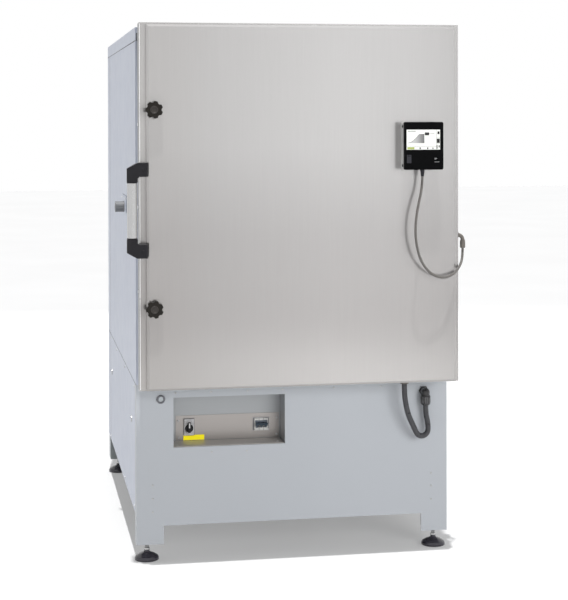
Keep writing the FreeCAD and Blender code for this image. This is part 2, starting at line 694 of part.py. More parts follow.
def casing_side(label, side):
    """Side sheet: L profile from above, with the air inlet hole on the left."""
    panel = body()
    panel.Label = label
    plan = sketch(panel, "xy", SHEET_LOW)
    sign = "" if side > 0 else "-"
    outline(plan, [(sign + SIDE, FRONT), (sign + SIDE, BACK + " - rear_return - seam_gap"),
                   (sign + INNER, BACK + " - rear_return - seam_gap"), (sign + INNER, BOARD_FRONT),
                   (sign + FRAME_OUT, BOARD_FRONT), (sign + FRAME_OUT, FRONT)])
    pad(panel, plan, SHEET_HIGH + " - " + SHEET_LOW)
    if side < 0:
        cuts = sketch(panel, "yz", "-%s - steel_sheet" % SIDE)
        circle(cuts, FRONT + " + inlet_place", "inlet_level", "inlet_radius + clearance")
        pocket(panel, cuts, "4 * steel_sheet", True)
    named(panel, label)


def casing_rear():
    """Rear cover: U of sheet with louvre fields and the exhaust hole."""
    panel = folded_sheet(BACK, BACK + " - rear_return", BACK + " - steel_sheet", SHEET_LOW,
                         SHEET_HIGH + " - " + SHEET_LOW)
    panel.Label = "casing_rear"
    hole = sketch(panel, "xz", BACK + " + steel_sheet")
    circle(hole, EXHAUST_X, "exhaust_level", "exhaust_radius + exhaust_step + clearance")
    pocket(panel, hole, "4 * steel_sheet", True)
    slots = sketch(panel, "xz", BACK + " + steel_sheet")
    for centre in ("-louvre_place", "louvre_place"):
        rectangle(slots, (centre + " - louvre_width / 2", "louvre_level"),
                  (centre + " + louvre_width / 2", "louvre_level + louvre_height"))
    field = pocket(panel, slots, "4 * steel_sheet", True)
    row_of(panel, field, slots, "V_Axis", "louvre_pitch", "louvre_rows")
    named(panel, "casing_rear")


def casing_top():
    """Top cover: a pan turned upside down."""
    outer = block(("-" + SIDE, FRONT, "casing_top - cover_lip"), (SIDE, BACK, "casing_top"))
    inner = block(("-" + INNER, BOARD_FRONT, "casing_top - 2 * cover_lip"),
                  (INNER, BACK + " - steel_sheet", "casing_top - steel_sheet"))
    named(cut(outer, [inner]), "casing_top")


casing_side("casing_side_left", -1)
casing_side("casing_side_right", 1)
casing_rear()
casing_top()


def front_frame():
    """Ring round the chamber mouth on which the door seal lands: a hollow fold, open to the rear."""
    outer = block(("-" + FRAME_OUT, FRAME_FRONT, FRAME_LOW), (FRAME_OUT, FRONT, FRAME_HIGH))
    throat = block(("-" + LINER, FRAME_FRONT + " - 1", "chamber_floor"), (LINER, FRONT + " + 1", ROOF))
    wall = "steel_sheet"
    hollow = block(("-%s + %s" % (FRAME_OUT, wall), FRAME_FRONT + " + " + wall, "%s + %s" % (FRAME_LOW, wall)),
                   ("%s - %s" % (FRAME_OUT, wall), FRONT + " + 1", "%s - %s" % (FRAME_HIGH, wall)))
    core = block(("-" + LINER_OUT, FRAME_FRONT, "chamber_floor - " + wall), (LINER_OUT, FRONT + " + 2", ROOF + " + " + wall))
    holes = [rod("receiver_radius", (FACE_LEFT + " + rim_left", FRAME_FRONT + " - 1", z), "frame_depth / 2", "y")
             for z in ("knob_upper", "knob_lower")]
    ring = cut(outer, [cut(hollow, [core]), throat] + holes)
    back_stop = block(("-" + LINER_OUT, FRONT, "chamber_floor - " + wall), (LINER_OUT, BOARD_FRONT, ROOF + " + " + wall))
    collar = cut(back_stop, [block(("-" + LINER, FRONT + " - 1", "chamber_floor"), (LINER, FRONT + " + 3", ROOF))])
    named(fuse([ring, collar]), "front_frame")


front_frame()


# Insulation boards: floor, roof, two sides, and a thick rear board bored for the services

INLET_DUCT = ("-" + INNER, FRONT + " + inlet_place", "inlet_level")


def insulation():
    top = "casing_top - steel_sheet"
    front, back = BOARD_FRONT, "(%s + steel_sheet)" % LINER_BACK
    named(block(("-" + LINER_OUT, front, "base_top"), (LINER_OUT, back, "chamber_floor - steel_sheet")),
          "insulation_floor")
    named(block(("-" + LINER_OUT, front, ROOF + " + steel_sheet"), (LINER_OUT, back, top)), "insulation_top")
    named(block((LINER_OUT, front, "base_top"), (INNER, back, top)), "insulation_right")
    left = block(("-" + INNER, front, "base_top"), ("-" + LINER_OUT, back, top))
    duct = rod("inlet_radius + clearance", INLET_DUCT, INNER + " - " + LINER_OUT, "x")
    named(cut(left, [duct]), "insulation_left")
    rear = block(("-" + INNER, back, "base_top"), (INNER, BOARD_BACK, top))
    holes = [rod("shaft_passage", ("0", back + " - 1", "fan_level"), "2 * rear_board", "y"),
             rod("exhaust_radius + exhaust_step + clearance", (EXHAUST_X, back + " - 1", "exhaust_level"), "2 * rear_board", "y"),
             rod("probe_radius + clearance", ("probe_place", back + " - 1", "probe_level"), "2 * rear_board", "y")]
    named(cut(rear, holes), "insulation_rear")


def chamber_liner():
    """Welded stainless box open to the front, bored for shaft, exhaust, sensor and air inlet."""
    outer = block(("-" + LINER_OUT, BOARD_FRONT, "chamber_floor - steel_sheet"),
                  (LINER_OUT, LINER_BACK + " + steel_sheet", ROOF + " + steel_sheet"))
    inner = block(("-" + LINER, FRONT, "chamber_floor"), (LINER, LINER_BACK, ROOF))
    reach = "rear_plenum"
    tools = [inner,
             rod("shaft_passage", ("0", LINER_BACK + " - 5", "fan_level"), reach, "y"),
             rod("exhaust_radius + exhaust_step + clearance", (EXHAUST_X, LINER_BACK + " - 5", "exhaust_level"), reach, "y"),
             rod("probe_radius + clearance", ("probe_place", LINER_BACK + " - 5", "probe_level"), reach, "y"),
             rod("inlet_radius + clearance", INLET_DUCT, INNER + " - " + LINER + " + 5", "x")]
    named(cut(outer, tools), "chamber_liner")


insulation()
chamber_liner()


# Air guidance: slotted side baffles, a rear baffle with the fan guard, heaters in the side plenums

def air_baffle(label, side):
    """Side baffle standing between floor and roof, with rows of slots."""
    panel = body()
    panel.Label = label
    face = sketch(panel, "yz", "chamber_width / 2" if side > 0 else "-chamber_width / 2 - steel_sheet")
    start = "(%s + frame_inset)" % FRONT
    rectangle(face, (start, "chamber_floor"), (FRONT + " + chamber_depth", ROOF))
    pad(panel, face, "steel_sheet")
    slots = sketch(panel, "yz", "chamber_width / 2 - 1" if side > 0 else "-chamber_width / 2 - steel_sheet - 1")
    first_z = "(chamber_floor + chamber_height / 2 - slot_pitch_z * (slot_rows - 1) / 2 - slot_height / 2)"
    for column in range(SIZES["slot_columns"]):
        y = "(%s + slot_length + %d * slot_pitch_y)" % (start, column)
        rectangle(slots, (y, first_z), (y + " + slot_length", first_z + " + slot_height"))
    holes = pocket(panel, slots, "4 * steel_sheet", True)
    row_of(panel, holes, slots, "V_Axis", "slot_pitch_z", "slot_rows")
    named(panel, label)


def air_baffle_rear():
    """Rear baffle: a plate with a ring of guard openings before the fan's eye."""
    plate = block(("-chamber_width / 2 - steel_sheet", FRONT + " + chamber_depth", "chamber_floor"),
                  ("chamber_width / 2 + steel_sheet", BAFFLE_BACK, ROOF))
    eye = rod("guard_radius", ("0", FRONT + " + chamber_depth - 1", "fan_level"), "4 * steel_sheet", "y")
    probe = rod("probe_radius + clearance", ("probe_place", FRONT + " + chamber_depth - 1", "probe_level"),
                "4 * steel_sheet", "y")
    holed = cut(plate, [eye, probe])
    depth = "steel_sheet"
    parts = [holed]
    for share in ("0.3", "0.62", "0.94"):
        outer = rod("guard_radius * %s" % share, ("0", FRONT + " + chamber_depth", "fan_level"), depth, "y")
        inner = rod("guard_radius * %s - guard_bar" % share, ("0", FRONT + " + chamber_depth - 1", "fan_level"),
                    "4 * steel_sheet", "y")
        parts.append(cut(outer, [inner]))
    for angle in range(0, 180, 45):
        bar = block(("-guard_radius - guard_bar", "0", "-guard_bar / 2"),
                    ("guard_radius + guard_bar", depth, "guard_bar / 2"))
        spoke = doc.addObject("Part::Compound", "Spoke")
        spoke.Links = [bar]
        spoke.Placement = FreeCAD.Placement(V(), FreeCAD.Rotation(V(0, 1, 0), angle))
        parts.append(place(spoke, "0", FRONT + " + chamber_depth", "fan_level"))
    named(fuse(parts), "air_baffle_rear")


def heating_elements():
    """One bank of heater rods in each side plenum, on carriers at floor and roof."""
    banks = []
    for side in (-1, 1):
        centre = "%d * (chamber_width / 2 + steel_sheet + side_plenum / 2)" % side
        start = "(%s + slot_pitch_y)" % FRONT
        length = "slot_pitch_y * (rod_count - 1) + carrier * 2"
        parts = []
        for low, high in (("chamber_floor", "chamber_floor + carrier"), (ROOF + " - carrier", ROOF)):
            parts.append(block((centre + " - carrier / 2", start + " - carrier", low),
                               (centre + " + carrier / 2", start + " - carrier + " + length, high)))
        for i in range(SIZES["rod_count"]):
            parts.append(rod("rod_radius", (centre, start + " + %d * slot_pitch_y" % i, "chamber_floor + carrier / 2"),
                             "chamber_height - carrier", "z"))
        banks.append(fuse(parts))
    pair = doc.addObject("Part::Compound", "Heaters")
    pair.Links = banks
    named(pair, "heating_elements")


def rack_level(row):
    return "(chamber_floor + rail_pitch * (%d + 1))" % row


def shelf_rails():
    """Two racks hung on the side baffles: upright strips that carry the shelf rails."""
    racks = []
    for side in (-1, 1):
        parts = []
        for y in (FRONT + " + chamber_depth * 0.12", FRONT + " + chamber_depth * 0.86"):
            parts.append(sided(side, ("chamber_width / 2 - 4", y, "chamber_floor"),
                               ("chamber_width / 2", y + " + rail_strip", "chamber_floor + rail_pitch * (rail_rows + 0.5)")))
        for row in range(SIZES["rail_rows"]):
            parts.append(sided(side, ("chamber_width / 2 - rail_reach", FRONT + " + chamber_depth * 0.06", rack_level(row)),
                               ("chamber_width / 2", FRONT + " + chamber_depth * 0.95", rack_level(row) + " + rail_sheet")))
        racks.append(fuse(parts))
    pair = doc.addObject("Part::Compound", "Racks")
    pair.Links = racks
    named(pair, "shelf_rails")


def shelf(label, row):
    """Slotted shelf plate with a folded front and rear edge, resting on one pair of rails."""
    plate = body()
    level = rack_level(row) + " + rail_sheet"
    reach = "(chamber_width / 2 - 4 - shelf_gap)"
    start, end = FRONT + " + chamber_depth * 0.07", FRONT + " + chamber_depth * 0.94"
    face = sketch(plate, "xy", level)
    rectangle(face, ("-" + reach, start), (reach, end))
    pad(plate, face, "steel_sheet")
    pitch = "(chamber_depth * 0.87 / shelf_slots)"
    slots = sketch(plate, "xy", level + " - 1")
    for low, high in (("-%s + 2 * shelf_web" % reach, "-shelf_web / 2"), ("shelf_web / 2", reach + " - 2 * shelf_web")):
        rectangle(slots, (low, start + " + shelf_web"), (high, start + " + " + pitch))
    holes = pocket(plate, slots, "4 * steel_sheet", True)
    pattern = row_of(plate, holes, slots, "V_Axis", pitch, "shelf_slots")
    doc.recompute()
    edges = []
    for y0, y1 in ((start, start + " + steel_sheet"), (end + " - steel_sheet", end)):
        edges.append(block(("-" + reach + " + 2 * shelf_web", y0, level + " - shelf_edge"),
                           (reach + " - 2 * shelf_web", y1, level + " + steel_sheet / 2")))
    named(fuse([plate] + edges), label)


air_baffle("air_baffle_left", -1)
air_baffle("air_baffle_right", 1)
air_baffle_rear()
heating_elements()
shelf_rails()
shelf("shelf_lower", 1)
shelf("shelf_upper", 3)


# Fan: radial wheel on a shaft that reaches through the rear board into the motor

def fan_wheel():
    wheel = body()
    front = "(%s - clearance - fan_sheet - fan_depth)" % ("(%s - rear_plenum / 4)" % LINER_BACK)
    back = "(%s + fan_depth)" % front
    face = sketch(wheel, "xz", back)
    circle(face, "0", "0", "fan_radius")
    pad(wheel, face, "fan_sheet", True)
    blade = sketch(wheel, "xz", back)
    outline(blade, [("fan_eye * 0.72", "-blade_sheet / 2"), ("fan_radius - 2", "fan_radius * 0.2"),
                    ("fan_radius - 3", "fan_radius * 0.2 + blade_sheet"), ("fan_eye * 0.71", "blade_sheet / 2")])
    first = pad(wheel, blade, "fan_depth")
    ring_of(wheel, first, blade, "blade_count")
    lip = sketch(wheel, "xz", front + " + fan_sheet")
    circle(lip, "0", "0", "fan_radius")
    circle(lip, "0", "0", "fan_eye")
    pad(wheel, lip, "fan_sheet")
    hub = sketch(wheel, "xz", back)
    circle(hub, "0", "0", "fan_hub")
    pad(wheel, hub, "fan_depth / 2")
    shaft = sketch(wheel, "xz", back)
    circle(shaft, "0", "0", "fan_shaft")
    pad(wheel, shaft, "%s + shaft_grip - 1 - %s" % (BOARD_BACK, back), True)
    wheel.Label = "fan_wheel"
    place(wheel, "0", "0", "fan_level")
    named(wheel, "fan_wheel")


def fan_motor():
    """Flanged motor with cooling ribs, a rounded cowl and a terminal box."""
    x, z = "0", "fan_level"
    parts = [rod("motor_flange", (x, BOARD_BACK, z), "motor_flange_depth", "y"),
             rod("motor_radius - motor_rib", (x, BOARD_BACK, z), "motor_length", "y"),
             rod("motor_radius", (x, BOARD_BACK + " + motor_length * 0.72", z), "motor_length * 0.26", "y"),
             block(("-motor_radius * 0.5", BOARD_BACK + " + motor_length * 0.2", z + " + motor_radius * 0.8"),
                   ("motor_radius * 0.5", BOARD_BACK + " + motor_length * 0.62", z + " + motor_radius * 1.35"))]
    count = SIZES["motor_ribs"]
    for index in range(count):
        rib = doc.addObject("Part::Compound", "Rib")
        rib.Links = [block(("-motor_radius", "motor_flange_depth", "-motor_rib_sheet / 2"),
                           ("motor_radius", "motor_length * 0.72", "motor_rib_sheet / 2"))]
        rib.Placement = FreeCAD.Placement(V(), FreeCAD.Rotation(V(0, 1, 0), 180 / count * index))
        parts.append(place(rib, x, BOARD_BACK, z))
    bore = rod("fan_shaft + running_gap", (x, BOARD_BACK + " - 1", z), "shaft_grip + 1", "y")
    named(cut(fuse(parts), [bore]), "fan_motor")


def exhaust():
    """Exhaust pipe with a wall flange and a stepped-down end, and the flap that turns in it."""
    x, z = EXHAUST_X, "exhaust_level"
    length = "(%s + exhaust_reach - (%s))" % (BACK, LINER_BACK)
    pipe = rod("exhaust_radius + exhaust_step", (x, LINER_BACK, z), length + " - exhaust_reach + exhaust_collar", "y")
    step = taper("exhaust_radius + exhaust_step", "exhaust_radius", (x, BACK + " + exhaust_collar", z),
                 "exhaust_step", "y")
    end = rod("exhaust_radius", (x, BACK, z), "exhaust_reach", "y")
    flange = rod("exhaust_flange", (x, BACK, z), "tube_wall", "y")
    bore = rod("exhaust_radius - exhaust_wall", (x, LINER_BACK + " - 1", z), length + " + 2", "y")
    flap_y = "(%s + exhaust_reach - flap_setback)" % BACK
    pins = rod("flap_pin + running_gap", (x, flap_y, z + " - 2 * exhaust_radius"), "4 * exhaust_radius", "z")
    named(cut(fuse([pipe, step, end, flange]), [bore, pins]), "exhaust_pipe")

    inner = "(exhaust_radius - exhaust_wall)"
    disc = rod(inner + " - flap_gap", (EXHAUST_X + " - flap_sheet / 2", flap_y, z), "flap_sheet", "x")
    spindle = rod("flap_pin", (x, flap_y, z + " - exhaust_radius - flap_rise / 2"),
                  "2 * exhaust_radius + 1.5 * flap_rise + lever_sheet", "z")
    top = z + " + exhaust_radius + flap_rise"
    lever = block((EXHAUST_X + " - lever_width / 2", flap_y + " - lever_width / 2", top),
                  (EXHAUST_X + " + lever_width / 2", flap_y + " + flap_lever", top + " + lever_sheet"))
    grip = rod("flap_pin * 1.75", (x, flap_y + " + flap_lever - lever_width / 2", top), "4 * lever_sheet", "z")
    named(fuse([disc, spindle, lever, grip]), "exhaust_flap")


def thermocouple():
    """Sensor rod through the rear wall, with its terminal head behind the board."""
    x, z = "probe_place", "probe_level"
    start = "(%s + chamber_depth - probe_reach)" % FRONT
    stem = rod("probe_radius", (x, start, z), BOARD_BACK + " - " + start + " + 2", "y")
    head = rod("probe_head", (x, BOARD_BACK, z), "probe_head * 1.6", "y")
    neck = rod("probe_head * 0.5", (x, BOARD_BACK + " + probe_head * 1.6", z), "probe_head * 0.4", "y")
    named(fuse([stem, head, neck]), "thermocouple")


fan_wheel()
fan_motor()
exhaust()
thermocouple()


# Air inlet on the left side: flange with two ports, and the knob that turns a shutter over them

def kidney(owner, plane, level, depth, reverse):
    """Two round ports beside the centre pin."""
    ports = sketch(owner, plane, level)
    reach = "(inlet_pin + inlet_port * 0.55)"
    for sign in ("", "-"):
        circle(ports, "0", sign + reach, "inlet_port / 2 - 1")
    return pocket(owner, ports, depth, reverse)


INLET_CENTRE = ("-" + SIDE, FRONT + " + inlet_place", "inlet_level")


def air_inlet_flange():
    """Plate on the side sheet with a duct behind it, two ports and a centre pin."""
    flange = body()
    flange.Label = "air_inlet_flange"
    plate = sketch(flange, "yz", "0")
    rectangle(plate, ("-inlet_plate_length / 2", "-inlet_plate_low"),
              ("inlet_plate_length / 2", "inlet_plate_height - inlet_plate_low"))
    pad(flange, plate, "shutter_sheet", True)
    duct = sketch(flange, "yz", "0")
    circle(duct, "0", "0", "inlet_radius")
    circle(duct, "0", "0", "inlet_radius - steel_sheet")
    pad(flange, duct, SIDE + " - " + LINER)
    kidney(flange, "yz", "-2 * shutter_sheet", "3 * shutter_sheet", True)
    pin = sketch(flange, "yz", "-shutter_sheet / 2")
    circle(pin, "0", "0", "inlet_pin")
    pad(flange, pin, "shutter_sheet + shutter_grip * 0.6", True)
    named(place(flange, *INLET_CENTRE), "air_inlet_flange")


def air_inlet_knob():
    """Shutter disc with two matching ports and a fluted grip, turning on the flange's pin."""
    knob = body()
    knob.Label = "air_inlet_knob"
    level = "-shutter_sheet - clearance"
    disc = sketch(knob, "yz", level)
    circle(disc, "0", "0", "shutter_radius")
    pad(knob, disc, "shutter_sheet", True)
    kidney(knob, "yz", level + " - 2 * shutter_sheet", "4 * shutter_sheet", True)
    grip = sketch(knob, "yz", level + " - shutter_sheet")
    circle(grip, "0", "0", "inlet_grip")
    pad(knob, grip, "shutter_grip", True)
    flute = sketch(knob, "yz", level + " - shutter_sheet - shutter_grip - 1")
    circle(flute, "inlet_grip + inlet_flute / 2", "0", "inlet_flute")
    ring_of(knob, pocket(knob, flute, "shutter_grip + 1", True), flute, "inlet_flutes")
    bore = sketch(knob, "yz", level + " + 1")
    circle(bore, "0", "0", "inlet_pin + running_gap")
    pocket(knob, bore, "shutter_sheet + shutter_grip * 0.6 + 1", False)
    named(place(knob, *INLET_CENTRE), "air_inlet_knob")


air_inlet_flange()
air_inlet_knob()


# Hinges: casing brackets with the pins, door leaves with the middle knuckles

HINGE_LEVELS = ("(door_bottom + hinge_inset)", "(door_bottom + door_height - hinge_inset)")
KNUCKLE = "(hinge_length / 3)"


def hinge_bracket(z):
    """Plate on the casing side, web and two knuckles that carry the pin."""
    low, high = "(%s - hinge_length / 2)" % z, "(%s + hinge_length / 2)" % z
    plate_out = "(casing_width / 2 + hinge_leaf)"
    plate = block((SIDE, FRONT + " - hinge_setback / 2", low),
                  (plate_out, FRONT + " - hinge_setback / 2 + hinge_leaf_depth", high))
    parts = [plate, rod("hinge_pin", (HINGE_X, HINGE_Y, low + " - 3"), "hinge_length + 6", "z")]
    for start in (low, "(%s + 2 * %s)" % (low, KNUCKLE)):
        parts.append(rod("hinge_barrel", (HINGE_X, HINGE_Y, start), KNUCKLE, "z"))
        parts.append(block((SIDE, HINGE_Y + " + hinge_leaf / 2", start),
                           (HINGE_X, HINGE_Y + " + hinge_barrel", start + " + " + KNUCKLE)))
    return fuse(parts)


def hinge_leaf(z):
    """Leaf on the door's side with the middle knuckle, bored to run on the pin."""
    low = "(%s - hinge_length / 2)" % z
    start = "(%s + %s + knuckle_gap)" % (low, KNUCKLE)
    length = "(%s - 2 * knuckle_gap)" % KNUCKLE
    leaf = block((TRAY_SIDE, TRAY_FRONT + " + 3", low), (DOOR_SIDE, DOOR_BACK + " - 3", low + " + hinge_length"))
    web = block((DOOR_SIDE + " - hinge_leaf / 2", DOOR_BACK + " - 12", start),
                (HINGE_X + " + hinge_leaf / 2", HINGE_Y + " - hinge_leaf / 2", start + " + " + length))
    knuckle = rod("hinge_barrel", (HINGE_X, HINGE_Y, start), length, "z")
    bore = rod("hinge_pin + running_gap", (HINGE_X, HINGE_Y, start + " - 5"), length + " + 10", "z")
    return cut(fuse([leaf, web, knuckle]), [bore])


for label, maker in (("hinge_brackets", hinge_bracket), ("hinge_leaves", hinge_leaf)):
    hinges = doc.addObject("Part::Compound", "Hinges")
    hinges.Links = [maker(z) for z in HINGE_LEVELS]
    named(hinges, label)


# Door: front skin in two steps, rear tray, insulation, plug and seal

KNOB_X = "(%s + rim_left)" % FACE_LEFT
KNOB_LEVELS = ("knob_upper", "knob_lower")


def door_skin():
    """Stainless front of the door: a shallow tray with a raised, chamfered face."""
    skin = body()
    skin.Label = "door_skin"
    rim = sketch(skin, "xz", TRAY_FRONT)
    rectangle(rim, ("-" + DOOR_SIDE, "door_bottom"), (DOOR_SIDE, DOOR_TOP))
    pad(skin, rim, "door_skin_depth")
    face = sketch(skin, "xz", RIM_FRONT)
    rectangle(face, (FACE_LEFT, "door_bottom + seam_gap"), (DOOR_SIDE + " - rim_right", DOOR_TOP + " - rim_top"))
    raised = pad(skin, face, "face_depth")
    doc.recompute()
    front = number(FACE_FRONT)
    edges = ["Edge%d" % (i + 1) for i, edge in enumerate(raised.Shape.Edges)
             if all(abs(point.Point.y - front) < 0.01 for point in edge.Vertexes)]
    bevel = skin.newObject("PartDesign::Chamfer", "Bevel")
    bevel.Base = (raised, edges)
    bevel.setExpression("Size", bound("face_chamfer"))
    inside = sketch(skin, "xz", TRAY_FRONT)
    rectangle(inside, ("-%s + steel_sheet" % DOOR_SIDE, "door_bottom + steel_sheet"),
              (DOOR_SIDE + " - steel_sheet", DOOR_TOP + " - steel_sheet"))
    pocket(skin, inside, "door_skin_depth - steel_sheet", True)
    deep = sketch(skin, "xz", TRAY_FRONT)
    rectangle(deep, (FACE_LEFT + " + face_chamfer + steel_sheet", "door_bottom + face_chamfer + 2 * steel_sheet"),
              (DOOR_SIDE + " - rim_right - face_chamfer - steel_sheet",
               DOOR_TOP + " - rim_top - face_chamfer - steel_sheet"))
    pocket(skin, deep, "door_skin_depth + face_depth - steel_sheet", True)
    bores = sketch(skin, "xz", RIM_FRONT)
    for z in KNOB_LEVELS:
        circle(bores, KNOB_X, z, "knob_spindle + running_gap")
    pocket(skin, bores, "2 * face_depth", True)
    side_hole = sketch(skin, "yz", DOOR_SIDE + " + 1")
    circle(side_hole, FRONT + " - gland_setback", "gland_height", "gland_neck + clearance")
    pocket(skin, side_hole, "3 * steel_sheet")
    named(skin, "door_skin")


def door_frame():
    """Rear tray of the door: folded walls, a front flange inside the skin, and a back plate
    with the plug opening."""
    low, high = "(door_bottom + tray_inset)", "(%s - tray_inset)" % DOOR_TOP
    outer = block(("-" + TRAY_SIDE, TRAY_FRONT, low), (TRAY_SIDE, DOOR_BACK, high))
    flange = block(("-%s + steel_sheet" % DOOR_SIDE, TRAY_FRONT, "door_bottom + steel_sheet"),
                   (DOOR_SIDE + " - steel_sheet", TRAY_FRONT + " + steel_sheet", DOOR_TOP + " - steel_sheet"))
    inner = block(("-%s + steel_sheet" % TRAY_SIDE, TRAY_FRONT + " - 1", low + " + steel_sheet"),
                  (TRAY_SIDE + " - steel_sheet", DOOR_BACK + " - steel_sheet", high + " - steel_sheet"))
    mouth = block(("-%s + steel_sheet" % PLUG_SIDE, TRAY_FRONT, PLUG_LOW + " + steel_sheet"),
                  (PLUG_SIDE + " - steel_sheet", DOOR_BACK + " + 1", PLUG_HIGH + " - steel_sheet"))
    holes = [rod("knob_spindle + clearance", (KNOB_X, DOOR_BACK + " - rail_width", z), "2 * rail_width", "y")
             for z in KNOB_LEVELS]
    holes.append(rod("socket_radius - 3 + clearance", ("socket_place", TRAY_FRONT + " + door_tray / 2", "door_bottom"),
                     "rail_width", "z"))
    named(cut(fuse([outer, flange]), [inner, mouth] + holes), "door_frame")


def door_insulation():
    """Fibre block that fills tray and plug."""
    gap = "clearance"
    low, high = "(door_bottom + tray_inset + steel_sheet)", "(%s - tray_inset - steel_sheet)" % DOOR_TOP
    main = block(("-%s + steel_sheet + %s" % (TRAY_SIDE, gap), RIM_FRONT + " + steel_sheet + " + gap, low),
                 ("%s - steel_sheet - %s" % (TRAY_SIDE, gap), DOOR_BACK + " - steel_sheet", high))
    core = block(("-%s + steel_sheet + %s" % (PLUG_SIDE, gap), DOOR_BACK + " - rail_width", PLUG_LOW + " + steel_sheet"),
                 ("%s - steel_sheet - %s" % (PLUG_SIDE, gap), DOOR_BACK + " + plug_reach - steel_sheet",
                  PLUG_HIGH + " - steel_sheet"))
    holes = [rod("knob_spindle + 1", (KNOB_X, FACE_FRONT, z), "2 * door_tray + door_skin_depth", "y")
             for z in KNOB_LEVELS]
    holes.append(rod("gland_neck + 1", (DOOR_SIDE + " - rail_width", FRONT + " - gland_setback", "gland_height"),
                     "rail_width", "x"))
    holes.append(rod("socket_radius", ("socket_place", TRAY_FRONT + " + door_tray / 2", "door_bottom"), "rail_width", "z"))
    named(cut(fuse([main, core]), holes), "door_insulation")


def door_plug():
    """Inner tray that stands into the chamber mouth, with a flange on the door's back plate."""
    outer = block(("-" + PLUG_SIDE, DOOR_BACK, PLUG_LOW), (PLUG_SIDE, DOOR_BACK + " + plug_reach", PLUG_HIGH))
    flange = block(("-%s - plug_flange" % PLUG_SIDE, DOOR_BACK, PLUG_LOW + " - plug_flange"),
                   (PLUG_SIDE + " + plug_flange", DOOR_BACK + " + steel_sheet", PLUG_HIGH + " + plug_flange"))
    inner = block(("-%s + steel_sheet" % PLUG_SIDE, DOOR_BACK + " - 1", PLUG_LOW + " + steel_sheet"),
                  (PLUG_SIDE + " - steel_sheet", DOOR_BACK + " + plug_reach - steel_sheet", PLUG_HIGH + " - steel_sheet"))
    named(cut(fuse([outer, flange]), [inner]), "door_plug")


def door_seal():
    """Rope seal laid in a rectangle on the door's back, rounded towards the front frame."""
    seal = body()
    seal.Label = "door_seal"
    ring = sketch(seal, "xz", DOOR_BACK)
    near = "(%s + seal_offset)" % LINER
    far = "(%s + seal_width)" % near
    for reach in (near, far):
        edge = "(%s - %s)" % (reach, LINER)
        rectangle(ring, ("-" + reach, "chamber_floor - " + edge), (reach, ROOF + " + " + edge))
    rope = pad(seal, ring, "door_back - frame_depth - seal_gap", True)
    doc.recompute()
    back = number("%s + door_back - frame_depth - seal_gap" % DOOR_BACK)
    edges = ["Edge%d" % (i + 1) for i, edge in enumerate(rope.Shape.Edges)
             if all(abs(point.Point.y - back) < 0.01 for point in edge.Vertexes)]
    soft = seal.newObject("PartDesign::Chamfer", "Rounding")
    soft.Base = (rope, edges)
    soft.setExpression("Size", bound("seal_width / 6"))
    named(seal, "door_seal")


door_skin()
door_frame()
door_insulation()
door_plug()
door_seal()


# Star knobs: clamping grips whose spindles reach through the door into the front frame

def star_knob(label, z):
    knob = body()
    knob.Label = label
    star_back = "(%s - knob_standoff)" % FACE_FRONT
    star = sketch(knob, "xz", star_back)
    circle(star, "0", "0", "knob_radius")
    pad(knob, star, "knob_depth")
    scallop = sketch(knob, "xz", star_back + " + 1")
    circle(scallop, "knob_radius + knob_scallop * 0.35", "0", "knob_scallop")
    notch = pocket(knob, scallop, "knob_depth + 2", True)
    ring_of(knob, notch, scallop, "knob_lobes")
    dish = sketch(knob, "xz", star_back + " - knob_depth")
    circle(dish, "0", "0", "knob_radius * 0.36")
    pocket(knob, dish, "knob_depth * 0.2")
    neck = sketch(knob, "xz", star_back)
    circle(neck, "0", "0", "knob_neck")
    pad(knob, neck, "knob_standoff - clearance", True)
    stem = sketch(knob, "xz", star_back)
    circle(stem, "0", "0", "knob_spindle")
    pad(knob, stem, "%s + frame_depth / 2 + clearance - %s" % (FRAME_FRONT, star_back), True)
    named(place(knob, KNOB_X, "0", z), label)


star_knob("star_knob_upper", "knob_upper")
star_knob("star_knob_lower", "knob_lower")


# Handle: a tube between two legs that stand on the door's left rim

GRIP_X = "(-door_width / 2 - handle_offset)"
GRIP_Y = "(%s - handle_stand)" % RIM_FRONT
GRIP_TOP = "(grip_bottom + grip_length)"


